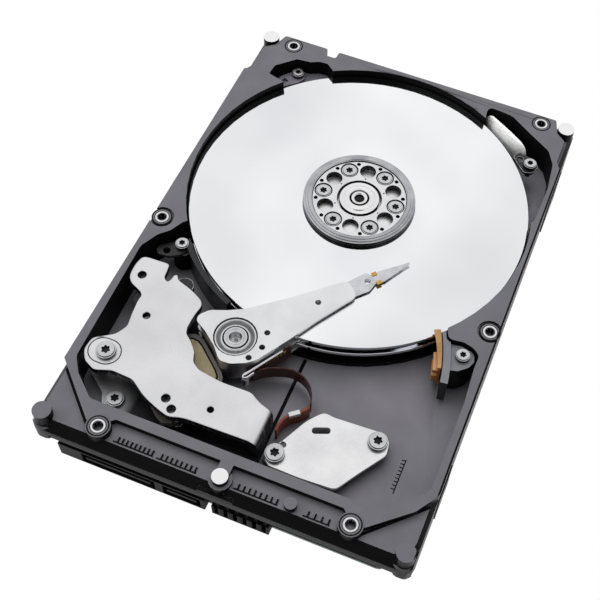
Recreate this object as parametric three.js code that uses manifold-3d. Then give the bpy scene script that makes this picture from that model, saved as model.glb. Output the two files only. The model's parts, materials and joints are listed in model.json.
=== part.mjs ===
// Hard disk drive, 3.5-inch class, top cover removed. Millimetres, +Z up, connector end at -Y.
import * as THREE from 'three';
import { mergeVertices } from 'three/addons/utils/BufferGeometryUtils.js';
import Module from 'manifold-3d';

const wasm = await Module();
wasm.setup();

// Driving sizes. The origin is at the middle of the underside.
const overall = { width: 101.6, length: 147, height: 20 };
const halfWidth = overall.width / 2;
const halfLength = overall.length / 2;
const fit = {
  seat: 0.3, // gap left between pieces that touch on curved faces
  running: 0.35, // gap between moving and fixed pieces
  overrun: 1, // how far a cutting body passes the face it cuts
};

// Casting: heights are drops below the post tops, or rises above the underside.
const casting = {
  padProud: 0.3,
  deckDrop: 0.9,
  bossDrop: 1.2,
  ledgeDrop: 3,
  slopeDrop: 5.3,
  lipDrop: 7.2,
  shelfRise: 10,
  floorRise: 7.5,
  wellStep: 1.4,
  floorThickness: 2,
  boardRecess: 5.5,
  sideWall: 1.8,
  rearWall: 1.2,
  shelfDepth: 4.9,
  lipSetback: 0.6,
  slopeRun: 2.6,
  sideSlopeRun: 3.4,
  landEdge: 1.2,
  landDrop: 1.3,
  cornerRadius: 2.2,
  filletRadius: 2,
  smallFillet: 0.8,
  railWidth: 6.6,
  rearRail: 5,
  frontBackShare: -0.69,
  neckBackShare: -0.88,
};
const deckTop = overall.height - casting.deckDrop;
const ledgeTop = overall.height - casting.ledgeDrop;
const bossTop = overall.height - casting.bossDrop;
const wellFloor = casting.floorRise + casting.wellStep;
const bodySide = halfWidth - casting.padProud;

// The disk well is the largest that both the width and the length leave room for. What lies inside the
// casting follows the well, and its places are shares of the half width and half length round it.
const wellShare = 2 / 3;
const wellRadius = Math.min(halfWidth - casting.sideWall, halfLength * wellShare);
const spindleAt = [0, halfLength - casting.rearWall - wellRadius];
const outside = { halfWidth, halfLength, middle: 0 };
const inside = { halfWidth: wellRadius + casting.sideWall, halfLength: wellRadius / wellShare };
inside.middle = halfLength - inside.halfLength;
const spot = ([x, y], frame = inside) => [x * frame.halfWidth, frame.middle + y * frame.halfLength];
const plan = (shares, frame = inside) => shares.map((share) => spot(share, frame));
const across = (share, frame = inside) => spot([share, 0], frame)[0];
const along = (share, frame = inside) => spot([0, share], frame)[1];
const pivotShare = [-0.26, -0.438];
const pivotAt = spot(pivotShare);
const pivotToSpindle = Math.hypot(spindleAt[0] - pivotAt[0], spindleAt[1] - pivotAt[1]);

const cornerPost = { inset: 2.9, radius: 2.45, ringRadius: 3.1, ringDrop: 4.6 };
const frontPost = { setback: 3.7, radius: 2.1, baseRadius: 3, baseDrop: 1.8, neckWidth: 3.4 };
const smallPost = { radius: 1.6, drop: 1 };
const coverBoss = { radius: 2.9, bore: 1.25, boreDepth: 6, grooveWidth: 0.5, grooveDepth: 0.4 };

// Turns a closed geometry into a solid for joining and cutting.
function solid(geometry) {
  const bare = new THREE.BufferGeometry();
  bare.setAttribute('position', geometry.getAttribute('position').clone());
  if (geometry.index) bare.setIndex(geometry.index.clone());
  const merged = mergeVertices(bare);
  const place = merged.getAttribute('position');
  const index = Array.from(merged.index.array);
  const triangles = [];
  for (let i = 0; i < index.length; i += 3) {
    const [a, b, c] = [index[i], index[i + 1], index[i + 2]];
    if (a !== b && b !== c && c !== a) triangles.push([a, b, c]);
  }
  const corner = (i) => new THREE.Vector3().fromBufferAttribute(place, i);
  let volume = 0;
  for (const [a, b, c] of triangles) volume += corner(a).dot(corner(b).cross(corner(c)));
  const wound = volume < 0 ? triangles.map(([a, b, c]) => [a, c, b]) : triangles;
  return new wasm.Manifold(new wasm.Mesh({
    numProp: 3,
    vertProperties: new Float32Array(place.array),
    triVerts: new Uint32Array(wound.flat()),
  }));
}

// Outline with its corners eased by curves that start at most radius before the corner. Slight turns stay.
function eased(points, radius, stepAngle = Math.PI / 5) {
  const out = [];
  points.forEach((point, i) => {
    const here = new THREE.Vector2(...point);
    const before = new THREE.Vector2(...points[(i + points.length - 1) % points.length]).sub(here);
    const after = new THREE.Vector2(...points[(i + 1) % points.length]).sub(here);
    const turn = Math.PI - before.angleTo(after);
    if (turn < stepAngle / 2) {
      out.push(point);
      return;
    }
    const reach = Math.min(radius * Math.tan(turn / 2), 0.46 * before.length(), 0.46 * after.length());
    const start = before.clone().setLength(reach).add(here);
    const end = after.clone().setLength(reach).add(here);
    const steps = Math.max(1, Math.ceil(turn / stepAngle));
    const curve = new THREE.QuadraticBezierCurve(start, here, end);
    for (let k = 0; k <= steps; k += 1) out.push(curve.getPoint(k / steps).toArray());
  });
  return out;
}

// Outline moved outwards by a distance, for outlines that run anticlockwise.
function grown(points, distance) {
  return points.map((point, i) => {
    const here = new THREE.Vector2(...point);
    const before = here.clone().sub(new THREE.Vector2(...points[(i + points.length - 1) % points.length]));
    const after = new THREE.Vector2(...points[(i + 1) % points.length]).sub(here);
    const a = before.normalize();
    const b = after.normalize();
    const push = distance / (1 + a.dot(b));
    return [here.x + push * (a.y + b.y), here.y - push * (a.x + b.x)];
  });
}

// Flat plate or block between two heights, with an outline and holes.
function slab(outline, z0, z1, holes = []) {
  const corner = ([x, y]) => new THREE.Vector2(x, y);
  const shape = new THREE.Shape(outline.map(corner));
  shape.holes = holes.map((hole) => new THREE.Path(hole.map(corner)));
  const geometry = new THREE.ExtrudeGeometry(shape, { depth: z1 - z0, bevelEnabled: false });
  geometry.translate(0, 0, z0);
  return solid(geometry);
}

function drum([x, y], radius, z0, z1, sides = 16) {
  const geometry = new THREE.CylinderGeometry(radius, radius, z1 - z0, sides);
  geometry.rotateX(Math.PI / 2);
  geometry.translate(x, y, (z0 + z1) / 2);
  return solid(geometry);
}

function brick([x0, x1], [y0, y1], [z0, z1]) {
  const geometry = new THREE.BoxGeometry(x1 - x0, y1 - y0, z1 - z0);
  geometry.translate((x0 + x1) / 2, (y0 + y1) / 2, (z0 + z1) / 2);
  return solid(geometry);
}

// Turned piece: radius and height pairs, closed on the axis or on themselves.
function turned(profile, [x, y], sides = 48) {
  const points = profile.map(([r, z]) => new THREE.Vector2(r, z));
  const open = profile[0][0] > 0 || profile[profile.length - 1][0] > 0;
  if (open) points.push(points[0].clone());
  const geometry = new THREE.LatheGeometry(points, sides);
  geometry.rotateX(Math.PI / 2);
  geometry.translate(x, y, 0);
  return solid(geometry);
}

// Skin over a row of convex rings with equal numbers of points, closed at both ends.
function skin(rings) {
  const count = rings[0].length;
  const index = [];
  for (let ring = 0; ring + 1 < rings.length; ring += 1) {
    for (let i = 0; i < count; i += 1) {
      const next = (i + 1) % count;
      const low = ring * count;
      const high = low + count;
      index.push(low + i, low + next, high + next, low + i, high + next, high + i);
    }
  }
  const last = (rings.length - 1) * count;
  for (let i = 1; i + 1 < count; i += 1) {
    index.push(0, i + 1, i);
    index.push(last, last + i, last + i + 1);
  }
  const geometry = new THREE.BufferGeometry();
  geometry.setAttribute('position', new THREE.Float32BufferAttribute(rings.flat(2), 3));
  geometry.setIndex(index);
  return solid(geometry);
}

// Point at a radius and an angle in degrees round a centre.
const polar = ([x, y], radius, degrees) => {
  const angle = THREE.MathUtils.degToRad(degrees);
  return [x + radius * Math.cos(angle), y + radius * Math.sin(angle)];
};

const fullTurn = 360;
const circle = (at, radius, sides = 24) => Array.from({ length: sides }, (_, i) => (
  polar(at, radius, (fullTurn * i) / sides)));

// Ring sector between two radii and two angles in degrees, as an outline.
function sector(at, inner, outer, fromAngle, toAngle, steps = 12) {
  const angles = Array.from({ length: steps + 1 }, (_, i) => THREE.MathUtils.lerp(fromAngle, toAngle,
    i / steps));
  const outerArc = angles.map((angle) => polar(at, outer, angle));
  return [...outerArc, ...angles.reverse().map((angle) => polar(at, inner, angle))];
}

const union = (parts) => parts.reduce((sum, part) => sum.add(part));

const group = new THREE.Group();
group.name = 'hard_disk_drive';
const finish = (colour, roughness, metalness) => ({ colour, roughness, metalness });
const finishes = {
  blackCast: finish(0x26262a, 0.62, 0.3),
  machined: finish(0xc9cacd, 0.32, 0.9),
  steel: finish(0xd6d7da, 0.28, 0.95),
  mirror: finish(0xeceef2, 0.05, 1),
  copper: finish(0xb98e48, 0.45, 0.7),
  blackPlastic: finish(0x1d1d20, 0.55, 0),
  greyPlastic: finish(0x77757f, 0.5, 0),
  amber: finish(0xc98637, 0.4, 0),
  filterCloth: finish(0xf2f2ee, 0.9, 0),
  flexFilm: finish(0x5b2a1e, 0.4, 0),
  board: finish(0x1e4a3b, 0.5, 0.05),
  magnet: finish(0xb9babd, 0.25, 0.9),
  foam: finish(0x3a3a3d, 0.95, 0),
};

// Puts a named solid into the model, in its own frame or in a turned group.
function add(name, body, look, parent = group) {
  const data = body.getMesh();
  const geometry = new THREE.BufferGeometry();
  geometry.setAttribute('position', new THREE.Float32BufferAttribute(data.vertProperties, 3));
  geometry.setIndex(Array.from(data.triVerts));
  geometry.computeVertexNormals();
  const { colour, roughness, metalness } = finishes[look];
  const material = new THREE.MeshStandardMaterial({ color: colour, roughness, metalness });
  const mesh = new THREE.Mesh(geometry, material);
  mesh.name = name;
  parent.add(mesh);
  return mesh;
}

// Screw with a round head and a driver recess. It clamps the face at seatZ and ends at tipZ.
const screwStyle = { headHeight: 1.4, shankShare: 0.48, recessShare: 0.5, recessDepth: 0.8,
  recessDepthShare: 0.7, sides: 10 };
function screw(at, headRadius, seatZ, tipZ, headHeight = screwStyle.headHeight) {
  const side = Math.sign(seatZ - tipZ);
  const shank = headRadius * screwStyle.shankShare;
  const top = seatZ + side * headHeight;
  const body = turned([
    [0, tipZ], [shank, tipZ], [shank, seatZ], [headRadius, seatZ], [headRadius, top], [0, top],
  ], at, screwStyle.sides);
  const points = circle(at, headRadius * screwStyle.recessShare, 6);
  const ends = [top - side * Math.min(screwStyle.recessDepth, headHeight * screwStyle.recessDepthShare),
    top + side * fit.overrun];
  return body.subtract(slab(points, Math.min(...ends), Math.max(...ends)));
}

// Hole that a screw's shank passes through.
const shankHole = (at, headRadius, z0, z1) => drum(at, headRadius * screwStyle.shankShare + fit.seat, z0, z1,
  8);

// Places of the pieces that the casting carries, as shares of its half sizes.
const yokeScrew = { shares: [-0.827, -0.665], head: 2.6 };
const lowerYokeScrew = { shares: [-0.715, -0.776], head: 2.4 };
const rampScrew = { shares: [0.856, -0.195], head: 1.9 };
const filterScrew = { shares: [0.817, 0.747], head: 1.9 };
const cornerScrew = { shares: [-0.705, 0.863], head: 1.9 };
const limiterScrew = { shares: [-0.783, -0.132], head: 1.9 };
const flexScrew = { shares: [[0.16, -0.761], [0.61, -0.584]], head: 2.6 };
const boardScrew = { shares: [[-0.8, -0.3], [0.8, -0.3], [-0.78, 0.12], [0.78, 0.12]], head: 2.2,
  headHeight: 0.85, bite: 0.3 };

const pocket = { cornerFloor: 14, limiterSeat: 14.6, limiterBoss: 2.9, flexSeat: 10.2, flexBoss: 3,
  filterFloor: 9.6 };
const board = { rise: 1, thickness: 1, edgeGap: 0.5, bossRadius: 2.6, motorGap: 1.2, frontSetback: 3.1,
  rearShare: 0.3 };
const motorBase = { flange: 17, spigot: 14.2, rise: 2.4, spigotTop: 7.2, sleeve: 3.9 };
const connectorBay = { xShares: [-0.892, -0.062], depth: 5.2, height: 8.3 };
const header = { xShares: [0.3, 0.54], yShares: [-0.755, -0.685] };
const sideHole = { radius: 1.55, depth: 2.6, rise: 6.35, frontFromEnd: 28.5, rearFromEnd: 130.1 };
const bottomHole = { radius: 1.55, depth: 4.4, fromSide: 3.175, fromEnd: [41.28, 85.73, 117.48] };
const pad = { height: 12, rise: 1, frontSpan: [-7.6, 2.6], rearSpan: [-11, 3.4] };
const tick = { width: 0.45, length: 1.5, height: 0.25, setback: 3.2, floorCount: 9 };
const groove = { width: 1, depth: 0.5, xShare: 0.079, yShares: [-0.8, -0.35] };

const deckShares = [
  [-1, -0.745], [-0.724, -0.932], [-0.655, -0.932], [-0.594, -0.893], [0.598, -0.893], [0.655, -0.93],
  [0.722, -0.93], [0.915, -0.816], [0.978, -0.75], [1, -0.72], [1, 0.752], [0.978, 0.763], [0.957, 0.788],
  [0.957, 0.903], [0.9, 0.935], [0.87, 1], [-0.516, 1], [-0.518, 0.962], [-0.587, 0.961], [-0.589, 1],
  [-0.87, 1], [-0.9, 0.935], [-0.957, 0.903], [-0.957, 0.788], [-0.978, 0.763], [-1, 0.752],
];
const cavityShares = [
  [-0.823, -0.064], [-0.86, -0.116], [-0.911, -0.152], [-0.96, -0.222], [-0.944, -0.727], [-0.886, -0.784],
  [-0.766, -0.855], [0.766, -0.856], [0.919, -0.75], [0.947, -0.726], [0.948, -0.38], [0.933, -0.234],
  [0.936, -0.181], [0.892, -0.159], [0.835, -0.15], [0.754, -0.159], [0.728, -0.1], [0.59, -0.068],
  [-0.75, -0.012],
];
const cornerPocketShares = [
  [-0.84, 0.77], [-0.833, 0.822], [-0.732, 0.892], [-0.646, 0.899], [-0.598, 0.916], [-0.547, 0.919],
  [-0.49, 0.89], [-0.62, 0.73],
];
const filterPocketShares = [
  [0.46, 0.963], [0.62, 0.95], [0.758, 0.887], [0.892, 0.829], [0.941, 0.767], [0.962, 0.646], [0.955, 0.44],
  [0.8, 0.5], [0.5, 0.8],
];
// Rows of casting marks on the front ledge: first and last place, and how many.
const tickRowShares = [[-0.543, -0.36, 9], [-0.311, -0.132, 8], [0.093, 0.291, 8], [0.451, 0.555, 4]];
const floorTickShares = [[0.655, -0.712], [0.79, -0.66]];

const fourCorners = (x, y) => [[-x, -y], [x, -y], [x, y], [-x, y]];
const postPlaces = fourCorners(halfWidth - cornerPost.inset, halfLength - cornerPost.inset);
const frontPostAt = [0, -halfLength + frontPost.setback];
const smallPostAt = spot([0.358, -0.943], outside);
const groovedBossShares = [[-0.943, -0.072], [0.943, -0.072]];
const plainBossShares = [[-0.657, -0.937], [0.657, -0.937], [-0.793, 0.958], [0.793, 0.958]];
const coverBossAt = plan([...groovedBossShares, ...plainBossShares], outside);

// Front block: a lip, a short upright face and a slope up to the ledge.
function frontBlock() {
  const back = along(casting.frontBackShare, outside);
  const ring = (side, front, z) => {
    const points = eased([[-side, back], [-side, front], [side, front], [side, back]], casting.cornerRadius);
    return points.map(([x, y]) => [x, y, z]);
  };
  const lip = halfLength - casting.lipSetback;
  return skin([
    ring(bodySide - casting.lipSetback, -lip, casting.shelfRise),
    ring(bodySide - casting.lipSetback, -lip, overall.height - casting.lipDrop - casting.lipSetback),
    ring(bodySide, -halfLength, overall.height - casting.lipDrop),
    ring(bodySide, -halfLength, overall.height - casting.slopeDrop),
    ring(bodySide - casting.sideSlopeRun, -halfLength + casting.slopeRun, ledgeTop),
  ]);
}

// Lower body with a chamfered land round the rear corners.
function lowerBody() {
  const front = -halfLength + casting.shelfDepth;
  const ring = (inset, z) => {
    const side = bodySide - inset;
    const back = halfLength - inset;
    const points = eased([[-side, front], [side, front], [side, back], [-side, back]], casting.cornerRadius);
    return points.map(([x, y]) => [x, y, z]);
  };
  return skin([
    ring(0, 0),
    ring(0, ledgeTop - casting.landDrop),
    ring(casting.landEdge, ledgeTop),
  ]);
}

function castingTicks() {
  const y = -halfLength + tick.setback;
  const rows = tickRowShares.flatMap(([from, to, count]) => Array.from({ length: count }, (_, i) => {
    const x = across(THREE.MathUtils.lerp(from, to, i / (count - 1)), outside);
    return brick([x - tick.width / 2, x + tick.width / 2], [y, y + tick.length], [ledgeTop - tick.height,
      ledgeTop + tick.height]);
  }));
  const [first, last] = plan(floorTickShares).map((at) => new THREE.Vector2(...at));
  const floor = Array.from({ length: tick.floorCount }, (_, i) => {
    const at = first.clone().lerp(last, i / (tick.floorCount - 1));
    return brick([at.x - tick.width / 2, at.x + tick.width / 2], [at.y - tick.length, at.y + tick.length],
      [casting.floorRise - tick.height, casting.floorRise + tick.height]);
  });
  return union([...rows, ...floor]);
}

function boardOutline(gap) {
  const side = bodySide - casting.railWidth - gap;
  const front = -halfLength + board.frontSetback;
  const rear = along(board.rearShare);
  return [[-side, front], [side, front], [side, rear], [-side, rear]];
}

function baseCasting() {
  const top = overall.height + fit.overrun;
  const envelope = brick([-bodySide, bodySide], [-halfLength, halfLength], [-fit.overrun, top]);
  const deck = slab(eased(plan(deckShares, outside), casting.smallFillet), casting.boardRecess, deckTop);
  const bosses = coverBossAt.map((at) => drum(at, coverBoss.radius, casting.shelfRise, bossTop, 14));
  let body = union([lowerBody(), frontBlock(), deck, ...bosses]).intersect(envelope);

  // Disk well, actuator cavity and pockets.
  const cavity = eased(plan(cavityShares), casting.filletRadius);
  const wellLow = drum(spindleAt, wellRadius, casting.floorRise - fit.overrun, wellFloor, 60);
  body = body.subtract(slab(cavity, casting.floorRise, top).subtract(wellLow));
  body = body.subtract(drum(spindleAt, wellRadius, wellFloor, top, 60));
  body = body.subtract(slab(eased(plan(cornerPocketShares), casting.smallFillet), pocket.cornerFloor, top));
  body = body.subtract(slab(eased(plan(filterPocketShares), casting.filletRadius), pocket.filterFloor, top));

  // Posts, and bosses that stand on the floor.
  const posts = postPlaces.flatMap((at) => [
    drum(at, cornerPost.radius, casting.shelfRise, overall.height, 16),
    drum(at, cornerPost.ringRadius, casting.shelfRise, overall.height - cornerPost.ringDrop, 12)
      .intersect(envelope),
  ]);
  const neck = frontPost.neckWidth / 2;
  const front = [
    drum(frontPostAt, frontPost.radius, casting.shelfRise, overall.height),
    drum(frontPostAt, frontPost.baseRadius, casting.shelfRise, overall.height - frontPost.baseDrop),
    brick([-neck, neck], [frontPostAt[1], along(casting.neckBackShare, outside)],
    [casting.shelfRise, deckTop]),
    drum(smallPostAt, smallPost.radius, casting.shelfRise, overall.height - smallPost.drop, 14),
  ];
  const nose = brick([-neck - frontPost.baseRadius, neck + frontPost.baseRadius],
    [-halfLength, -halfLength + casting.slopeRun + casting.lipSetback],
    [overall.height - casting.lipDrop, ledgeTop - casting.landDrop]);
  const limiterAt = spot(limiterScrew.shares);
  const inside = [
    drum(limiterAt, pocket.limiterBoss, casting.boardRecess, pocket.limiterSeat),
    ...plan(flexScrew.shares).map((at) => drum(at, pocket.flexBoss, casting.boardRecess, pocket.flexSeat)),
  ];
  body = union([body, ...posts, ...front, nose, ...inside, castingTicks()]);

  // Side pads round the screw holes.
  const holeEnds = [sideHole.frontFromEnd, sideHole.rearFromEnd].map((y) => y - halfLength);
  const spans = [pad.frontSpan, pad.rearSpan];
  holeEnds.forEach((y, i) => {
    const [low, high] = spans[i];
    [-1, 1].forEach((side) => {
      const xs = [side * (bodySide - casting.padProud), side * halfWidth].sort((a, b) => a - b);
      body = body.add(brick(xs, [y + low, y + high], [pad.rise, pad.rise + pad.height]));
    });
  });

  // Underside: board recess, motor recess, shallower rear field.
  const side = bodySide - casting.railWidth;
  const recessRear = along(board.rearShare) + board.edgeGap;
  const recess = slab(eased([[-side, -halfLength - fit.overrun], [side, -halfLength - fit.overrun],
    [side, recessRear], [-side, recessRear]], casting.filletRadius), -fit.overrun, casting.boardRecess);
  const rearField = slab(eased([[-side, recessRear - casting.rearRail], [side, recessRear - casting.rearRail],
    [side, halfLength - casting.rearRail], [-side, halfLength - casting.rearRail]], casting.filletRadius),
    -fit.overrun, casting.boardRecess - casting.floorThickness);
  body = body.subtract(recess).subtract(rearField);
  body = body.subtract(drum(spindleAt, motorBase.flange + board.motorGap, -fit.overrun, casting.boardRecess,
    40));
  const boardBosses = plan(boardScrew.shares).map((at) => drum(at, board.bossRadius,
    board.rise + board.thickness, casting.boardRecess + casting.floorThickness / 2, 8));
  body = union([body, ...boardBosses]);

  // Holes.
  const [bayLeft, bayRight] = connectorBay.xShares.map((share) => across(share, outside));
  const bayBack = -halfLength + casting.shelfDepth + connectorBay.depth;
  const cuts = [
    drum(spindleAt, motorBase.spigot + fit.seat, 0, top, 40),
    brick([bayLeft, bayRight], [-halfLength - fit.overrun, bayBack], [-fit.overrun, connectorBay.height]),
    brick([across(jumper.xShares[0], outside) - fit.seat, across(jumper.xShares[1], outside) + fit.seat],
      [-halfLength - fit.overrun, -halfLength + connector.setback + jumper.depth + fit.seat],
      [-fit.overrun, jumper.top + fit.seat]),
    brick(header.xShares.map((share) => across(share)), header.yShares.map((share) => along(share)),
    [0, wellFloor]),
    drum(pivotAt, pivot.shaftFoot + fit.seat, casting.floorRise - pivot.footDepth, wellFloor),
    shankHole(limiterAt, limiterScrew.head, casting.floorRise, top),
    shankHole(spot(lowerYokeScrew.shares), lowerYokeScrew.head, casting.floorRise - lowerYoke.screwDepth,
    top),
    shankHole(spot(cornerScrew.shares), cornerScrew.head, pocket.cornerFloor - screwDepth.pocket, top),
    shankHole(spot(filterScrew.shares), filterScrew.head, filter.tabSeat - screwDepth.pocket, top),
    ...plan(flexScrew.shares).map((at) => shankHole(at, flexScrew.head, casting.floorRise, top)),
    ...plan(boardScrew.shares).map((at) => shankHole(at, boardScrew.head, 0,
      casting.boardRecess + boardScrew.bite + fit.seat)),
    ...coverBossAt.map((at) => drum(at, coverBoss.bore, bossTop - coverBoss.boreDepth, top, 8)),
  ];
  holeEnds.forEach((y) => [-1, 1].forEach((dir) => {
    const hole = new THREE.CylinderGeometry(sideHole.radius, sideHole.radius, sideHole.depth * 2, 8);
    hole.rotateZ(Math.PI / 2);
    hole.translate(dir * halfWidth, y, sideHole.rise);
    cuts.push(solid(hole));
  }));
  bottomHole.fromEnd.forEach((fromEnd) => [-1, 1].forEach((dir) => {
    const at = [dir * (halfWidth - bottomHole.fromSide), fromEnd - halfLength];
    cuts.push(drum(at, bottomHole.radius, -fit.overrun, bottomHole.depth, 8));
  }));
  plan(groovedBossShares, outside).forEach((at) => {
    const outer = coverBoss.radius + coverBoss.grooveWidth;
    cuts.push(drum(at, outer, bossTop - coverBoss.grooveDepth, top)
      .subtract(drum(at, coverBoss.radius, 0, top + fit.overrun)));
  });
  const grooveX = across(groove.xShare);
  const [grooveFront, grooveBack] = groove.yShares.map((share) => along(share));
  cuts.push(brick([grooveX - groove.width / 2, grooveX + groove.width / 2], [grooveFront, grooveBack],
    [casting.floorRise - groove.depth, casting.floorRise + fit.overrun]));
  return body.subtract(union(cuts));
}

// Spindle: the stack from the hub flange up to the clamp.
const platter = { gap: 0.5, thickness: 1.27, bore: 12.5 };
const spindle = {
  flangeRise: 10.4, flangeRadius: 15.5, flangeThickness: 1.8, hubRadius: 12.2, spacing: 2.05,
  hubOverStack: 0.6,
  crownRadius: 5.65, crownRise: 1.9, crownRing: 4.3, crownStep: 0.25, shaftRadius: 2.3, shaftBore: 1.35,
  shaftBoreDepth: 3.5, cavityRadius: 11.1, cavityRoof: 1.6, spacerRadius: 15,
};
const motor = { magnetWall: 0.9, statorRadius: 9.4, statorBore: 4.9, statorHeight: 3.6, teeth: 9,
  slotWidth: 1.3,
  slotDepth: 3.4, sleeveBore: 2.6 };
const platterRadius = wellRadius - platter.gap;
const lowerPlatterZ = spindle.flangeRise + spindle.flangeThickness;
const spacerZ = lowerPlatterZ + platter.thickness;
const upperPlatterZ = spacerZ + spindle.spacing;
const stackTop = upperPlatterZ + platter.thickness;
const clamp = {
  radius: 16, height: 1.75, stepInsets: [0, 0.65, 1.5], stepDrops: [1, 0.5, 0], rimInner: 13.55,
  faceDrop: 0.5,
  innerRadius: 6.4, innerLip: 0.6, screwCircle: 10.6, holeCircle: 10.1, screwRecess: 2.75, holeRadius: 2.1,
  scallopRadius: 1.05, scallopCircle: 12.75, startAngle: 6.7, count: 6, headRadius: 2.25, headHeight: 0.75,
  under: 0.5,
};
const clampTop = stackTop + clamp.height;
const clampFace = clampTop - clamp.faceDrop;

function platterBody(z) {
  return turned([
    [platter.bore, z], [platterRadius, z], [platterRadius, z + platter.thickness],
    [platter.bore, z + platter.thickness],
  ], spindleAt, 60);
}

const around = (radius, degrees) => polar(spindleAt, radius, degrees);
const clampStep = fullTurn / clamp.count;
const clampPlaces = Array.from({ length: clamp.count }, (_, i) => clamp.startAngle + i * clampStep);
const hubTop = stackTop - spindle.hubOverStack;

function spindleHub() {
  const crownTop = clampFace + spindle.crownStep;
  const body = turned([
    [spindle.cavityRadius, spindle.flangeRise], [spindle.flangeRadius, spindle.flangeRise],
    [spindle.flangeRadius, lowerPlatterZ], [spindle.hubRadius, lowerPlatterZ], [spindle.hubRadius, hubTop],
    [spindle.crownRadius, hubTop], [spindle.crownRadius, crownTop - spindle.crownStep],
    [spindle.crownRing, crownTop - spindle.crownStep], [spindle.crownRing, crownTop],
    [spindle.shaftRadius + fit.seat, crownTop], [spindle.shaftRadius + fit.seat, hubTop - spindle.cavityRoof],
    [spindle.cavityRadius, hubTop - spindle.cavityRoof],
  ], spindleAt, 28);
  const bores = clampPlaces.map((angle) => shankHole(around(clamp.screwCircle, angle), clamp.headRadius,
    hubTop - spindle.cavityRoof - fit.overrun, hubTop + fit.overrun));
  return body.subtract(union(bores));
}

function diskClamp() {
  const [foot, middle, crest] = clamp.stepInsets.map((inset, i) => (
    [clamp.radius - inset, clamp.height - clamp.stepDrops[i]]));
  const body = turned([
    [clamp.innerRadius, hubTop + clamp.under], [spindle.hubRadius, hubTop + clamp.under],
    [spindle.hubRadius, stackTop], [foot[0], stackTop], [foot[0], stackTop + foot[1]],
    [middle[0], stackTop + foot[1]], [middle[0], stackTop + middle[1]], [crest[0], stackTop + middle[1]],
    [crest[0], stackTop + crest[1]], [clamp.rimInner, stackTop + crest[1]],
    [clamp.rimInner, clampFace], [clamp.innerRadius, clampFace],
  ], spindleAt, 36);
  const cuts = clampPlaces.flatMap((angle) => [
    drum(around(clamp.screwCircle, angle), clamp.screwRecess, clampFace - clamp.headHeight, clampTop, 10),
    shankHole(around(clamp.screwCircle, angle), clamp.headRadius, 0, clampTop),
    drum(around(clamp.holeCircle, angle + clampStep / 2), clamp.holeRadius, 0, clampTop, 8),
    drum(around(clamp.scallopCircle, angle + clampStep / 4), clamp.scallopRadius, clampFace - clamp.innerLip,
      clampTop, 5),
    drum(around(clamp.scallopCircle, angle - clampStep / 4), clamp.scallopRadius, clampFace - clamp.innerLip,
      clampTop, 5),
  ]);
  return body.subtract(union(cuts));
}

function statorCore() {
  const z0 = motorBase.spigotTop + fit.seat;
  const core = turned([[motor.statorBore, z0], [motor.statorRadius, z0],
    [motor.statorRadius, z0 + motor.statorHeight], [motor.statorBore, z0 + motor.statorHeight]], spindleAt,
    36);
  const slots = Array.from({ length: motor.teeth }, (_, i) => {
    const slot = new THREE.BoxGeometry(motor.slotDepth, motor.slotWidth, motor.statorHeight * 2);
    slot.translate(motor.statorRadius - motor.slotDepth / 2 + fit.seat, 0, z0 + motor.statorHeight / 2);
    slot.rotateZ((i * 2 * Math.PI) / motor.teeth);
    slot.translate(...spindleAt, 0);
    return solid(slot);
  });
  return core.subtract(union(slots));
}

function addSpindle() {
  const floor = casting.boardRecess;
  add('motor_base', turned([
    [0, motorBase.rise], [motorBase.flange, motorBase.rise], [motorBase.flange, floor],
    [motorBase.spigot, floor],
    [motorBase.spigot, motorBase.spigotTop], [0, motorBase.spigotTop],
  ], spindleAt, 36).subtract(drum(spindleAt, motorBase.sleeve + fit.seat, motorBase.rise + fit.seat,
    clampTop)), 'machined');
  const sleeveFoot = motorBase.rise + fit.seat;
  const sleeveTop = hubTop - spindle.cavityRoof - fit.running;
  const shaftFoot = sleeveFoot + platter.thickness;
  add('bearing_sleeve', turned([
    [0, sleeveFoot], [motorBase.sleeve, sleeveFoot], [motorBase.sleeve, sleeveTop],
    [motor.sleeveBore, sleeveTop], [motor.sleeveBore, shaftFoot - fit.running], [0, shaftFoot - fit.running],
  ], spindleAt, 24), 'machined');
  add('stator_core', statorCore(), 'copper');
  add('spindle_hub', spindleHub(), 'machined');
  const shaftTop = clampFace + spindle.crownStep;
  add('spindle_shaft', turned([
    [0, shaftFoot], [spindle.shaftRadius, shaftFoot], [spindle.shaftRadius, shaftTop],
    [spindle.shaftBore, shaftTop], [spindle.shaftBore, shaftTop - spindle.shaftBoreDepth],
    [0, shaftTop - spindle.shaftBoreDepth],
  ], spindleAt, 24), 'steel');
  const magnetOuter = spindle.cavityRadius - fit.seat;
  const magnetTop = hubTop - spindle.cavityRoof;
  add('rotor_magnet', turned([
    [magnetOuter - motor.magnetWall, spindle.flangeRise], [magnetOuter, spindle.flangeRise],
    [magnetOuter, magnetTop], [magnetOuter - motor.magnetWall, magnetTop],
  ], spindleAt, 36), 'magnet');
  add('lower_platter', platterBody(lowerPlatterZ), 'mirror');
  add('platter_spacer', turned([[platter.bore, spacerZ], [spindle.spacerRadius, spacerZ],
    [spindle.spacerRadius, upperPlatterZ], [platter.bore, upperPlatterZ]], spindleAt, 40), 'machined');
  add('upper_platter', platterBody(upperPlatterZ), 'mirror');
  add('disk_clamp', diskClamp(), 'steel');
  clampPlaces.forEach((angle, i) => {
    add(`clamp_screw_${i + 1}`, screw(around(clamp.screwCircle, angle), clamp.headRadius,
      clampFace - clamp.headHeight, hubTop - spindle.cavityRoof + fit.seat, clamp.headHeight), 'steel');
  });
}

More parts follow.
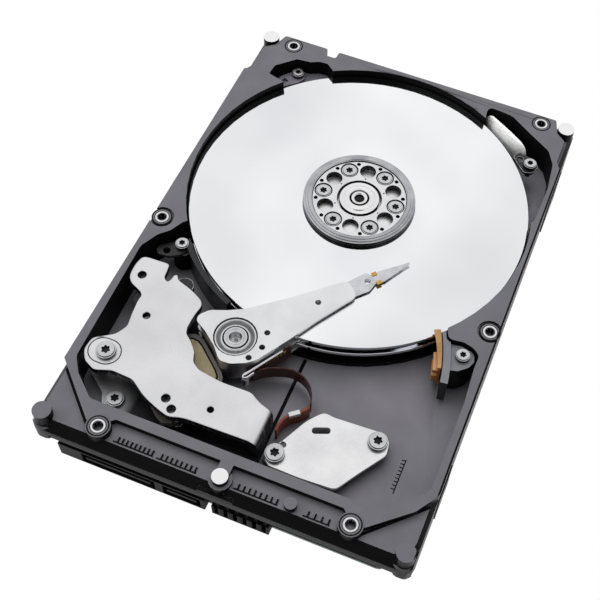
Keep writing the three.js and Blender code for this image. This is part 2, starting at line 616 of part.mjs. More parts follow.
// Head stack. Its own frame has the pivot at the origin and the arms along +X.
const pivot = { shaftRadius: 3.1, shaftBore: 1.7, shaftBoreDepth: 3, shaftFoot: 4.2, footDepth: 0.9,
  footTop: 8.6,
  top: 18.3, sleeveRadius: 5.5, sleeveFoot: 9.1, sleeveTop: 18.2, grooveRadius: 4.4, grooveDepth: 0.4 };
const head = {
  angle: 49.75, arm: 0.8, middleArm: 0.8, armTop: 18.5, reachShare: 0.9116,
  suspension: 0.2, slider: 0.2, sliderLength: 1.25, sliderWidth: 1, sliderSetback: 2.2,
  hole: 0.85, swageHole: 0.9, diskGap: 1, slotAngles: [75, 45, 15],
  swageShare: 0.757,
};
const reach = head.reachShare * pivotToSpindle;
const armOutlineShares = [
  [0.663, 0.043], [0.327, 0.085], [0.11, 0.126], [0.03, 0.158], [-0.05, 0.2], [-0.11, 0.2], [-0.136, 0.176],
  [-0.122, 0.1], [-0.118, 0], [-0.131, -0.087], [-0.09, -0.13], [-0.02, -0.161], [0.034, -0.171],
  [0.233, -0.138],
  [0.415, -0.101], [0.663, -0.063],
];
const armHoleShares = [[0.151, -0.053], [0.091, -0.117], [0.006, -0.14], [0.463, -0.008]];
const suspensionShares = [
  [0.585, -0.052], [0.74, -0.056], [0.79, -0.03], [0.826, -0.037], [0.84, -0.038], [0.98, -0.009],
  [1.012, -0.007],
  [1.012, 0.007], [0.98, 0.009], [0.84, 0.03], [0.826, 0.026], [0.79, 0.026], [0.775, 0.05], [0.585, 0.04],
];
const coilShares = [[-0.49, -0.242], [-0.156, -0.138], [-0.156, 0.138], [-0.49, 0.242]];
const coil = { wire: 3.9, corner: 4.2, holeCorner: 1.2, foot: 11.75, thickness: 1.8, frameWall: 1.1 };
const armZ = {
  top: head.armTop - head.arm,
  middle: spacerZ + (spindle.spacing - head.middleArm) / 2,
  lower: lowerPlatterZ - head.suspension - head.slider - fit.running - head.arm,
};
const suspensionZ = [
  armZ.top - head.suspension, armZ.middle + head.middleArm, armZ.middle - head.suspension,
    armZ.lower + head.arm,
];
const inReach = (shares) => shares.map(([x, y]) => [x * reach, y * reach]);
const coilOutline = inReach(coilShares);

function actuatorArms() {
  const outline = eased(inReach(armOutlineShares), casting.filletRadius);
  let body = slab(outline, armZ.lower, head.armTop);
  // The slots for the disks leave three flats round the bearing.
  const clearOfDisk = pivotToSpindle - platterRadius - head.diskGap;
  const corners = head.slotAngles.map((angle) => polar([0, 0], clearOfDisk, angle));
  const [, flatY] = corners[0];
  const slot = [[flatY, -reach], [reach, -reach], [reach, reach], [-reach, reach], [-reach, flatY],
    ...corners];
  body = body.subtract(slab(slot, armZ.lower + head.arm, armZ.middle));
  body = body.subtract(slab(slot, armZ.middle + head.middleArm, armZ.top));
  const coilRoom = eased(grown(coilOutline, fit.seat * 2 + coil.frameWall), coil.corner);
  body = body.subtract(slab(coilRoom, coil.foot - fit.seat, coil.foot + coil.thickness + fit.seat));
  const above = head.armTop + fit.overrun;
  body = body.subtract(drum([0, 0], pivot.sleeveRadius + fit.running, 0, above, 24));
  const holes = inReach(armHoleShares).map((at) => drum(at, head.hole, 0, above, 8));
  return body.subtract(union(holes));
}

function suspension(z) {
  const outline = eased(inReach(suspensionShares), casting.smallFillet);
  const hole = circle([reach * head.swageShare, 0], head.swageHole, 8);
  return slab(outline, z, z + head.suspension, [hole]);
}

function slider(z) {
  const x = reach - head.sliderSetback;
  return brick([x - head.sliderLength / 2, x + head.sliderLength / 2],
    [-head.sliderWidth / 2, head.sliderWidth / 2], [z, z + head.slider]);
}

const armBoard = { nearShare: [-0.03, -0.187], farShare: [0.235, -0.1455], thickness: 0.5, foot: 11,
  top: 16.2,
  loopShare: [-0.0033, -0.1974], hookWidth: 0.6, hookLength: 2.6, hookTop: 17.2 };

function addHeadStack() {
  add('pivot_shaft', turned([
    [0, casting.floorRise - pivot.footDepth], [pivot.shaftFoot, casting.floorRise - pivot.footDepth],
    [pivot.shaftFoot, pivot.footTop], [pivot.shaftRadius, pivot.footTop], [pivot.shaftRadius, pivot.top],
    [pivot.shaftBore, pivot.top], [pivot.shaftBore, pivot.top - pivot.shaftBoreDepth],
    [0, pivot.top - pivot.shaftBoreDepth],
  ], pivotAt, 24), 'steel');
  const stack = new THREE.Group();
  stack.position.set(...pivotAt, 0);
  stack.rotation.z = THREE.MathUtils.degToRad(head.angle);
  group.add(stack);
  const inner = pivot.shaftRadius + fit.running;
  add('pivot_bearing', turned([
    [inner, pivot.sleeveFoot], [pivot.sleeveRadius, pivot.sleeveFoot], [pivot.sleeveRadius, pivot.sleeveTop],
    [pivot.grooveRadius, pivot.sleeveTop],
    [pivot.grooveRadius, pivot.sleeveTop - pivot.grooveDepth], [inner, pivot.sleeveTop - pivot.grooveDepth],
  ], [0, 0], 32), 'steel', stack);
  add('actuator_arms', actuatorArms(), 'machined', stack);
  const names = ['top', 'middle_upper', 'middle_lower', 'bottom'];
  names.forEach((name, i) => {
    const z = suspensionZ[i];
    const below = i % 2 === 0;
    const foot = below ? z - head.slider : z + head.suspension;
    add(`head_gimbal_${name}`, suspension(z).add(slider(foot)), 'steel', stack);
  });
  const top = coil.foot + coil.thickness;
  const winding = eased(coilOutline, coil.corner);
  const hole = eased(grown(coilOutline, -coil.wire), coil.holeCorner);
  add('voice_coil', slab(winding, coil.foot, top, [hole]), 'copper', stack);
  const frameIn = eased(grown(coilOutline, fit.seat), coil.corner);
  const frameOut = eased(grown(coilOutline, fit.seat + coil.frameWall), coil.corner);
  add('coil_frame', slab(frameOut, coil.foot, top, [frameIn]), 'blackPlastic', stack);
  const [near, far] = inReach([armBoard.nearShare, armBoard.farShare]);
  const lift = armBoard.thickness;
  const boardPlan = [near, far, [far[0], far[1] - lift], [near[0], near[1] - lift]];
  add('arm_flex_board', slab(boardPlan, armBoard.foot, armBoard.top), 'flexFilm', stack);
  const hookPlan = [[near[0] - fit.seat, near[1]], [near[0] - fit.seat, near[1] - armBoard.hookLength],
    [near[0] - fit.seat - armBoard.hookWidth, near[1] - armBoard.hookLength],
    [near[0] - fit.seat - armBoard.hookWidth, near[1] + armBoard.hookWidth],
    [near[0] - fit.seat, near[1] + armBoard.hookWidth]];
  add('arm_flex_clip', slab(hookPlan, armBoard.foot, armBoard.hookTop), 'steel', stack);
}

// Voice coil motor, fixed to the floor.
const lowerYoke = { thickness: 2.1, screwDepth: 1.2, postRadius: 2.2 };
const magnet = { thickness: 1.85, innerShare: 0.2577, outerShare: 0.5192, fromAngle: 192, toAngle: 262,
  corner: 1.5 };
const upperYoke = { thickness: 2.3, bendRadius: 1.4, wall: 2.3, bosses: 3.6, bossDrop: 0.25,
  bentEndShares: [-0.79, -0.65], bentEndShare: 0.085 };
const lowerYokeTop = casting.floorRise + lowerYoke.thickness;
const upperYokeZ = coil.foot + coil.thickness + fit.running + magnet.thickness;
const upperYokeTop = upperYokeZ + upperYoke.thickness;
const upperYokeShares = [
  [-0.93, -0.25], [-0.772, -0.246], [-0.766, -0.271], [-0.76, -0.309], [-0.734, -0.32], [-0.722, -0.307],
  [-0.72, -0.284], [-0.705, -0.277], [-0.685, -0.297], [-0.59, -0.318], [-0.522, -0.343], [-0.5, -0.363],
  [-0.512, -0.415], [-0.512, -0.467], [-0.502, -0.491], [-0.461, -0.512], [-0.417, -0.546], [-0.396, -0.585],
  [-0.352, -0.605], [-0.215, -0.62], [-0.085, -0.617], [-0.05, -0.618], [0.06, -0.642], [0.085, -0.68],
  [0.085, -0.79], [-0.305, -0.795], [-0.376, -0.811], [-0.435, -0.8], [-0.535, -0.774],
  [-0.632, -0.729], [-0.748, -0.725], [-0.837, -0.747], [-0.905, -0.725], [-0.941, -0.686], [-0.935, -0.634],
  [-0.833, -0.588], [-0.801, -0.544], [-0.817, -0.48], [-0.823, -0.43], [-0.819, -0.408], [-0.838, -0.396],
  [-0.911, -0.373], [-0.939, -0.348], [-0.943, -0.299],
];
const upperYokeHoles = [
  { share: [-0.876, -0.328], radius: 1.15 }, { share: [-0.738, -0.479], radius: 1 },
  { share: [-0.431, -0.75], radius: 1.15 }, { share: [-0.38, -0.78], radius: 1.15 },
  { share: [-0.201, -0.731], radius: 0.85 },
];
const lowerYokeShares = [
  [-0.9, -0.27], [-0.76, -0.29], [-0.73, -0.34], [-0.57, -0.34], [-0.475, -0.41], [-0.44, -0.47],
  [-0.38, -0.532], [-0.26, -0.567], [-0.12, -0.578], [0.05, -0.64], [0.085, -0.7], [0.085, -0.81],
  [-0.3, -0.815],
  [-0.58, -0.8], [-0.66, -0.835], [-0.76, -0.82], [-0.8, -0.765], [-0.91, -0.71], [-0.925, -0.64],
  [-0.83, -0.58], [-0.82, -0.44], [-0.92, -0.37],
];
const crashStop = { share: [-0.66, -0.29], radius: 2.6, top: 15.2, neck: 1.9, neckFrom: 9.5, neckTo: 13.5 };
const yokePostShares = [yokeScrew.shares, [-0.868, -0.3]];

function addCoilMotor() {
  const above = upperYokeTop + fit.overrun;
  const endRight = across(upperYoke.bentEndShare);
  const [endFront, endBack] = upperYoke.bentEndShares.map((share) => along(share));
  let lower = slab(eased(plan(lowerYokeShares), casting.filletRadius), casting.floorRise, lowerYokeTop);
  const posts = plan(yokePostShares).map((at) => drum(at, lowerYoke.postRadius, casting.floorRise,
    upperYokeZ));
  lower = union([lower, ...posts]);
  const [upperScrewAt, lowerScrewAt] = [spot(yokeScrew.shares), spot(lowerYokeScrew.shares)];
  lower = lower.subtract(shankHole(upperScrewAt, yokeScrew.head, lowerYokeTop, above));
  lower = lower.subtract(shankHole(lowerScrewAt, lowerYokeScrew.head, 0, above));
  lower = lower.subtract(drum(pivotAt, pivot.shaftFoot + fit.seat * 2, 0, above, 32));
  add('lower_yoke', lower, 'steel');
  let upper = slab(eased(plan(upperYokeShares), casting.filletRadius), upperYokeZ, upperYokeTop);
  upper = upper.add(brick([endRight - upperYoke.wall, endRight], [endFront, endBack],
    [lowerYokeTop, upperYokeTop]));
  upper = upper.subtract(drum(upperScrewAt, upperYoke.bosses, upperYokeTop - upperYoke.bossDrop, above));
  upper = upper.subtract(shankHole(upperScrewAt, yokeScrew.head, 0, above));
  upper = upper.subtract(union(upperYokeHoles.map(({ share, radius }) => drum(spot(share), radius, 0, above,
    10))));
  const corner = upperYoke.bendRadius;
  const bevel = new THREE.BoxGeometry(corner * Math.SQRT2, endBack - endFront + fit.overrun * 2,
    corner * Math.SQRT2);
  bevel.rotateY(Math.PI / 4);
  bevel.translate(endRight, (endFront + endBack) / 2, upperYokeTop);
  upper = upper.subtract(solid(bevel));
  add('upper_yoke', upper, 'steel');
  const magnetPlan = eased(sector(pivotAt, magnet.innerShare * reach, magnet.outerShare * reach,
    magnet.fromAngle,
    magnet.toAngle, 8), magnet.corner);
  add('lower_magnet', slab(magnetPlan, lowerYokeTop, coil.foot - fit.running), 'magnet');
  add('upper_magnet', slab(magnetPlan, coil.foot + coil.thickness + fit.running, upperYokeZ), 'magnet');
  add('upper_yoke_screw', screw(upperScrewAt, yokeScrew.head, upperYokeTop - upperYoke.bossDrop,
    lowerYokeTop + fit.seat), 'steel');
  add('lower_yoke_screw', screw(lowerScrewAt, lowerYokeScrew.head, lowerYokeTop,
    casting.floorRise - lowerYoke.screwDepth + fit.seat), 'steel');
  add('crash_stop', turned([
    [0, casting.floorRise], [crashStop.radius, casting.floorRise], [crashStop.radius, crashStop.neckFrom],
    [crashStop.neck, crashStop.neckFrom], [crashStop.neck, crashStop.neckTo],
    [crashStop.radius, crashStop.neckTo],
    [crashStop.radius, crashStop.top], [0, crashStop.top],
  ], spot(crashStop.share), 14), 'blackPlastic');
}

// Load ramp, its bracket, the disk limiter, the filter and the corner bracket.
const ramp = { lead: 1.1, width: 3.1, fromAngle: 7.4, toAngle: 25.2, foot: 10, top: 18.5, slotGap: 0.4,
  overlap: 0.45, tooth: 0.7 };
const rampInner = reach - ramp.lead;
const rampOuter = rampInner + ramp.width;
const rampBracket = { bar: 2, fromAngle: 8.5, toAngle: 24.6, barTop: 18.2, lobeTop: 17.3 };
const rampLobeShares = [
  [0.742, -0.163], [0.829, -0.147], [0.872, -0.151], [0.909, -0.171], [0.921, -0.199], [0.906, -0.227],
  [0.86, -0.256], [0.8, -0.267],
];
const screwDepth = { pocket: 3.5, plastic: 5 };

function addRamp() {
  let comb = slab(sector(pivotAt, rampInner, rampOuter, ramp.fromAngle, ramp.toAngle, 10), ramp.foot,
    ramp.top);
  const sweep = (z) => slab(sector(pivotAt, rampInner - fit.overrun, rampOuter - ramp.tooth,
    ramp.fromAngle / 2, ramp.toAngle + ramp.fromAngle / 2, 12), z - ramp.slotGap,
      z + head.suspension + ramp.slotGap);
  comb = comb.subtract(union(suspensionZ.map(sweep)));
  comb = comb.subtract(drum(spindleAt, platterRadius + ramp.overlap, 0, armZ.top, 72));
  add('load_ramp', comb, 'amber');
  const barInner = rampOuter + fit.seat;
  const bar = slab(sector(pivotAt, barInner, barInner + rampBracket.bar, rampBracket.fromAngle,
    rampBracket.toAngle, 8), wellFloor, rampBracket.barTop);
  const at = spot(rampScrew.shares);
  const lobe = slab(eased(plan(rampLobeShares), casting.smallFillet), casting.floorRise, rampBracket.lobeTop);
  const above = rampBracket.barTop + fit.overrun;
  const room = slab(eased(grown(plan(cavityShares), -fit.seat), casting.filletRadius), 0, above)
    .add(drum(spindleAt, wellRadius - fit.seat, 0, above, 72));
  const bracket = bar.add(lobe).intersect(room).subtract(drum(spindleAt, wellRadius + fit.seat, 0, wellFloor,
    72));
  add('ramp_bracket', bracket.subtract(shankHole(at, rampScrew.head,
    rampBracket.lobeTop - screwDepth.plastic - fit.seat, above)), 'greyPlastic');
  add('ramp_screw', screw(at, rampScrew.head, rampBracket.lobeTop, rampBracket.lobeTop - screwDepth.plastic),
    'steel');
}

const limiter = { gap: 0.8, wall: 1.5, fromAngle: 219, toAngle: 247, top: 17.3, ear: 1, hole: 1.1,
  holeShare: [-0.846, -0.175] };
const limiterEarShares = [
  [-0.9, -0.184], [-0.9, -0.166], [-0.833, -0.128], [-0.766, -0.103], [-0.732, -0.137], [-0.768, -0.174],
  [-0.819, -0.197], [-0.884, -0.201],
];
function addLimiter() {
  const at = spot(limiterScrew.shares);
  const inner = platterRadius + limiter.gap;
  const earTop = pocket.limiterSeat + limiter.ear;
  const wall = slab(sector(spindleAt, inner, inner + limiter.wall, limiter.fromAngle, limiter.toAngle, 14),
    casting.floorRise, limiter.top);
  const ear = slab(eased(plan(limiterEarShares), casting.smallFillet), pocket.limiterSeat, earTop);
  const rest = drum(at, pocket.limiterBoss + fit.seat, 0, pocket.limiterSeat);
  const above = Math.max(earTop, limiter.top) + fit.overrun;
  const headRoom = drum(at, limiterScrew.head + fit.seat, earTop, above);
  const body = wall.subtract(rest).subtract(headRoom).add(ear)
    .subtract(drum(spot(limiter.holeShare), limiter.hole, 0, above, 14));
  add('disk_limiter', body.subtract(shankHole(at, limiterScrew.head, 0, above)), 'blackPlastic');
  add('limiter_screw', screw(at, limiterScrew.head, earTop, casting.floorRise + fit.seat), 'steel');
}

const filter = { fromShare: [0.475, 0.945], toShare: [0.765, 0.815], thickness: 3, foot: 9.9, top: 18.4,
  edge: 0.5,
  tabSeat: 16.4, tabThickness: 0.9, hole: 1, holeShare: [0.752, 0.765], bulgeShare: 0.7, steps: 12 };
const filterTabShares = [
  [0.71, 0.77], [0.735, 0.8], [0.775, 0.79], [0.83, 0.785], [0.865, 0.755], [0.85, 0.715], [0.8, 0.705],
  [0.76, 0.73], [0.73, 0.74],
];
function addFilter() {
  const [from, to] = plan([filter.fromShare, filter.toShare]);
  const run = new THREE.Vector2(to[0] - from[0], to[1] - from[1]);
  const normal = new THREE.Vector2(-run.y, run.x).normalize();
  const side = (sign) => Array.from({ length: filter.steps + 1 }, (_, i) => {
    const s = i / filter.steps;
    const half = sign * (filter.edge + filter.thickness * Math.sin(Math.PI * s) ** filter.bulgeShare) / 2;
    return [from[0] + run.x * s + normal.x * half, from[1] + run.y * s + normal.y * half];
  });
  const leaf = [...side(1), ...side(-1).reverse()];
  add('recirculation_filter', slab(leaf, filter.foot, filter.top), 'filterCloth');
  const at = spot(filterScrew.shares);
  const tabTop = filter.tabSeat + filter.tabThickness;
  const above = tabTop + fit.overrun;
  const tab = slab(eased(plan(filterTabShares), casting.smallFillet), filter.tabSeat, tabTop);
  add('filter_holder', tab.subtract(drum(spot(filter.holeShare), filter.hole, 0, above, 14))
    .subtract(drum(spindleAt, wellRadius, 0, above, 72))
    .subtract(shankHole(at, filterScrew.head, 0, above)), 'blackPlastic');
  add('filter_screw', screw(at, filterScrew.head, tabTop,
    filter.tabSeat - screwDepth.pocket + fit.seat), 'steel');
}

const cornerBracket = { thickness: 0.9 };
const cornerBracketShares = [
  [-0.81, 0.79], [-0.8, 0.825], [-0.735, 0.88], [-0.67, 0.885], [-0.655, 0.85], [-0.68, 0.82], [-0.73, 0.79],
  [-0.76, 0.77],
];
const cornerWindowShares = [[-0.785, 0.8], [-0.772, 0.823], [-0.74, 0.815], [-0.755, 0.79]];
function addCornerBracket() {
  const seat = pocket.cornerFloor;
  const at = spot(cornerScrew.shares);
  const plateTop = seat + cornerBracket.thickness;
  const above = plateTop + fit.overrun;
  const window = slab(plan(cornerWindowShares), 0, above);
  const plate = slab(eased(plan(cornerBracketShares), casting.smallFillet), seat, plateTop)
    .subtract(window);
  add('corner_bracket', plate.subtract(shankHole(at, cornerScrew.head, 0, above)), 'greyPlastic');
  add('corner_bracket_screw', screw(at, cornerScrew.head, plateTop,
    seat - screwDepth.pocket + fit.seat), 'steel');
}

// Head flex: a strip standing on edge from the arm board to the stiffened end at the bracket.
const flex = { thickness: 0.35, height: 4.6, armTop: 15.6, endTop: 12.6, stiffener: 0.7 };
const loopShares = [
  [-0.06, -0.493], [0, -0.47], [0.06, -0.456], [0.12, -0.459], [0.17, -0.477], [0.205, -0.508],
  [0.222, -0.545],
];
const stiffenerShares = [[0.222, -0.556], [0.207, -0.575], [0.183, -0.592], [0.152, -0.609], [0.13, -0.632],
  [0.118, -0.66], [0.117, -0.685]];
function ribbon(points, tops, height, thickness) {
  const rings = points.map(([x, y], i) => {
    const [ax, ay] = points[Math.max(i - 1, 0)];
    const [bx, by] = points[Math.min(i + 1, points.length - 1)];
    const side = new THREE.Vector2(ay - by, bx - ax).setLength(thickness / 2);
    const top = tops[i];
    return [[x - side.x, y - side.y, top - height], [x + side.x, y + side.y, top - height],
      [x + side.x, y + side.y, top], [x - side.x, y - side.y, top]];
  });
  return skin(rings);
}
const flexBracket = { seat: pocket.flexSeat, thickness: 1, slotLength: 4.7, slotWidth: 1.7, slotAngle: 21.8,
  slotShare: [0.324, -0.617], hole: 0.8, holeShare: [0.177, -0.717] };
const flexBracketShares = [
  [0.3, -0.546], [0.354, -0.552], [0.61, -0.543], [0.663, -0.562], [0.676, -0.617], [0.577, -0.722],
  [0.506, -0.803], [0.317, -0.81], [0.154, -0.808], [0.108, -0.778], [0.15, -0.727], [0.235, -0.6],
];
function addFlex() {
  // The loop starts on the outer face of the arm board.
  const start = new THREE.Vector2(...inReach([armBoard.loopShare])[0])
    .rotateAround(new THREE.Vector2(), THREE.MathUtils.degToRad(head.angle));
  const route = [[pivotAt[0] + start.x, pivotAt[1] + start.y], ...plan(loopShares)];
  const loop = new THREE.CatmullRomCurve3(route.map(([x, y], i) => new THREE.Vector3(x, y,
    THREE.MathUtils.lerp(flex.armTop, flex.endTop, i / (route.length - 1)))));
  const loopPoints = loop.getPoints(24);
  add('flex_loop', ribbon(loopPoints.map((p) => [p.x, p.y]), loopPoints.map((p) => p.z), flex.height,
    flex.thickness), 'flexFilm');
  const end = new THREE.CatmullRomCurve3(plan(stiffenerShares).map(([x, y]) => new THREE.Vector3(x, y,
    flex.endTop)));
  const endPoints = end.getPoints(14);
  add('flex_stiffener', ribbon(endPoints.map((p) => [p.x, p.y]), endPoints.map((p) => p.z),
    flex.endTop - casting.floorRise, flex.stiffener), 'flexFilm');
  const plateTop = flexBracket.seat + flexBracket.thickness;
  const above = plateTop + fit.overrun;
  let plate = slab(eased(plan(flexBracketShares), casting.filletRadius), flexBracket.seat, plateTop);
  const slot = new THREE.BoxGeometry(flexBracket.slotLength, flexBracket.slotWidth, 2 * above);
  slot.rotateZ(THREE.MathUtils.degToRad(flexBracket.slotAngle));
  slot.translate(...spot(flexBracket.slotShare), flexBracket.seat);
  plate = plate.subtract(solid(slot));
  plate = plate.subtract(drum(spot(flexBracket.holeShare), flexBracket.hole, 0, above, 12));
  plan(flexScrew.shares).forEach((at) => {
    plate = plate.subtract(shankHole(at, flexScrew.head, 0, above));
  });
  add('flex_bracket', plate, 'steel');
  plan(flexScrew.shares).forEach((at, i) => {
    add(`flex_bracket_screw_${i + 1}`, screw(at, flexScrew.head, plateTop,
      casting.floorRise + fit.seat), 'steel');
  });
  const [x0, x1] = header.xShares.map((share) => across(share));
  const [y0, y1] = header.yShares.map((share) => along(share));
  add('flex_header', brick([x0 + fit.seat, x1 - fit.seat], [y0 + fit.seat, y1 - fit.seat],
    [board.rise + board.thickness, flexBracket.seat]), 'blackPlastic');
}

// Circuit board side: board, chips, foam, connectors. Components face into the casting.
const connector = { setback: 0.6, depth: 8.6, top: 7.9, tongueThickness: 1.25, tongueRise: 4.6, wall: 1.1,
  mouthDepth: 5.6, powerBlade: 20.57, dataBlade: 10.41, key: 1.1, gap: 2.3, sideGap: 0.6, roof: 0.66 };
const jumper = { xShares: [-0.036, 0.27], top: 6.6, depth: 7, pins: 6, ribWidth: 1.1, ribDepth: 1.3,
  ribFoot: 0.65 };
const chip = { controllerSide: 14, controllerHeight: 1.3, memorySide: 9.5, driverSide: 8, lowHeight: 1.1 };
const chips = [
  { name: 'controller_chip', share: [-0.3, -0.36], side: chip.controllerSide, height: chip.controllerHeight },
  { name: 'memory_chip', share: [0.12, -0.3], side: chip.memorySide, height: chip.lowHeight },
  { name: 'motor_driver_chip', share: [0.47, -0.22], side: chip.driverSide, height: chip.lowHeight },
];
const foam = { height: 1.2, xShares: [-0.72, -0.08], yShares: [-0.14, 0.04] };

function addConnectors() {
  const boardTop = board.rise + board.thickness;
  const front = -halfLength + connector.setback;
  const left = across(connectorBay.xShares[0], outside) + connector.sideGap;
  const right = across(connectorBay.xShares[1], outside) - connector.sideGap;
  let body = brick([left, right], [front, front + connector.depth], [boardTop, connector.top]);
  const powerEnd = right - connector.wall - connector.dataBlade - connector.gap;
  const rooms = [
    [right - connector.wall - connector.dataBlade, right - connector.wall],
    [powerEnd - connector.powerBlade, powerEnd],
  ];
  rooms.forEach(([x0, x1]) => {
    const room = brick([x0, x1], [front - fit.overrun, front + connector.mouthDepth],
      [boardTop + connector.roof, connector.top - connector.roof]);
    const tongue = brick([x0 + connector.key, x1 - connector.key], [front, front + connector.depth],
      [connector.tongueRise, connector.tongueRise + connector.tongueThickness]);
    body = body.subtract(room).add(tongue);
  });
  add('drive_connector', body, 'blackPlastic');
  const [j0, j1] = jumper.xShares.map((share) => across(share, outside));
  let block = brick([j0, j1], [front, front + jumper.depth], [boardTop, jumper.top]);
  const pitch = (j1 - j0) / jumper.pins;
  for (let i = 0; i < jumper.pins; i += 1) {
    const x = j0 + pitch * (i + 0.5);
    block = block.subtract(brick([x - jumper.ribWidth / 2, x + jumper.ribWidth / 2],
      [front - fit.overrun, front + jumper.ribDepth], [boardTop + jumper.ribFoot, jumper.top + fit.overrun]));
  }
  add('jumper_block', block, 'blackPlastic');
}

function addBoard() {
  const top = board.rise + board.thickness;
  let plate = slab(eased(boardOutline(board.edgeGap), casting.filletRadius), board.rise, top);
  plate = plate.subtract(drum(spindleAt, motorBase.flange + board.motorGap / 2, 0, top + fit.overrun, 40));
  const screws = plan(boardScrew.shares).map((at) => screw(at, boardScrew.head, board.rise,
    casting.boardRecess + boardScrew.bite, boardScrew.headHeight));
  add('circuit_board', union([plate, ...screws]), 'board');
  chips.forEach(({ name, share, side, height }) => {
    const [x, y] = spot(share);
    add(name, brick([x - side / 2, x + side / 2], [y - side / 2, y + side / 2], [top, top + height]),
      'blackPlastic');
  });
  add('damping_foam', brick(foam.xShares.map((share) => across(share)),
    foam.yShares.map((share) => along(share)),
    [top, top + foam.height]), 'foam');
}

add('base_casting', baseCasting(), 'blackCast');
addSpindle();
addHeadStack();
addCoilMotor();
addRamp();
addLimiter();
addFilter();
addCornerBracket();
addFlex();
addConnectors();
addBoard();

export default group;
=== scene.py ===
import json
import math

import bmesh
import bpy
import numpy as np
from mathutils import Matrix, Vector
from mathutils.geometry import tessellate_polygon


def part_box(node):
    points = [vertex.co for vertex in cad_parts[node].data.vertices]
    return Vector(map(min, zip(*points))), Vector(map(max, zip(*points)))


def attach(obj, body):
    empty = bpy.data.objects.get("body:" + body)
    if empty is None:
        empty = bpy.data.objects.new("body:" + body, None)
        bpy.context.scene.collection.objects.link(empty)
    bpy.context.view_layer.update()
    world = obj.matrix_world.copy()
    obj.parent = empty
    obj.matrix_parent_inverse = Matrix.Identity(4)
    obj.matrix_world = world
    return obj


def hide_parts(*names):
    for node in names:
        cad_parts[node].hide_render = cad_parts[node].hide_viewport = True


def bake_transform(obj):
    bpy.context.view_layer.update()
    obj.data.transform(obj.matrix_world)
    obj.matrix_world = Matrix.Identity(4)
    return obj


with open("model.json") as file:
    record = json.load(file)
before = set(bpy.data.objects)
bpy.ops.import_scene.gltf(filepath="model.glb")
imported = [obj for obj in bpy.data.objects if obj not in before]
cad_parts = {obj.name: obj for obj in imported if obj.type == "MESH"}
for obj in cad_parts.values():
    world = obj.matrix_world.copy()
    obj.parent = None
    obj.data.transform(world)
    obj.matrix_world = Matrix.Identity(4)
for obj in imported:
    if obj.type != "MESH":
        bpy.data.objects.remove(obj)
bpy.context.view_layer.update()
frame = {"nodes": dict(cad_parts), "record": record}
nodes = frame["nodes"]
mm = 0.001
print("frame loaded:", len(nodes), "nodes")


# small helpers for colours, nodes and materials
def colour(code):
    # sRGB hex to the linear values that Blender's sockets hold
    parts = np.array([int(code[i:i + 2], 16) for i in (1, 3, 5)]) / 255
    linear = np.where(parts <= 0.04045, parts / 12.92, ((parts + 0.055) / 1.055) ** 2.4)
    return (*linear.tolist(), 1.0)


def addNode(tree, kind, inputs=None, **settings):
    # one node: an input is a value, a node (its first output) or (node, name or number of an output)
    made = tree.nodes.new("ShaderNode" + kind)
    for key, value in settings.items():
        setattr(made, key, value)
    for key, value in (inputs or {}).items():
        if isinstance(value, bpy.types.Node):
            value = (value, 0)
        if isinstance(value, tuple) and isinstance(value[0], bpy.types.Node):
            tree.links.new(value[0].outputs[value[1]], made.inputs[key])
        else:
            made.inputs[key].default_value = value
    return made


def newMaterial(name):
    material = bpy.data.materials.new(name)
    material.use_nodes = True
    material.node_tree.nodes.clear()
    return material, material.node_tree


def objectPlace(tree, centre=(0, 0, 0), stretch=(1, 1, 1)):
    # Object coordinates counted in millimetres from a centre
    spot = addNode(tree, "TexCoord")
    moved = addNode(tree, "VectorMath", {0: (spot, "Object"), 1: [c * mm for c in centre]},
                    operation="SUBTRACT")
    return addNode(tree, "VectorMath", {0: moved, 1: [s / mm for s in stretch]}, operation="MULTIPLY")


# meshes
bodyOfNode = {node: body for body, members in frame["record"]["behaviour"]["bodies"].items()
              for node in members}


def makePiece(name, points, faces, material, body, slotName, stands=(), smoothAngle=32):
    # points in millimetres; doubles merge, faces turn outwards, and sharp edges stay sharp
    mesh = bpy.data.meshes.new(name)
    mesh.from_pydata((np.asarray(points, float) * mm).tolist(), [], [list(map(int, f)) for f in faces])
    sheet = bmesh.new()
    sheet.from_mesh(mesh)
    bmesh.ops.remove_doubles(sheet, verts=sheet.verts, dist=0.0004 * mm)
    bmesh.ops.recalc_face_normals(sheet, faces=sheet.faces)
    sheet.to_mesh(mesh)
    sheet.free()
    return placePiece(name, mesh, material, body, stands, smoothAngle)


def placePiece(name, mesh, material, body, stands=(), smoothAngle=32):
    mesh.shade_smooth()
    mesh.set_sharp_from_angle(angle=math.radians(smoothAngle))
    piece = bpy.data.objects.new(name, mesh)
    bpy.context.collection.objects.link(piece)
    piece.data.materials.clear()
    piece.data.materials.append(material)
    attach(piece, body)
    if stands:
        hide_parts(*stands)
    return piece


def gridFaces(rows, columns, around=True, along=False):
    # quads between neighbouring rows and columns of a grid of points, closed round if asked
    r = np.arange(rows if along else rows - 1)[:, None]
    c = np.arange(columns if around else columns - 1)[None, :]
    r2, c2 = (r + 1) % rows, (c + 1) % columns
    quads = np.stack(np.broadcast_arrays(r * columns + c, r * columns + c2, r2 * columns + c2,
                                         r2 * columns + c), -1)
    return quads.reshape(-1, 4).tolist()


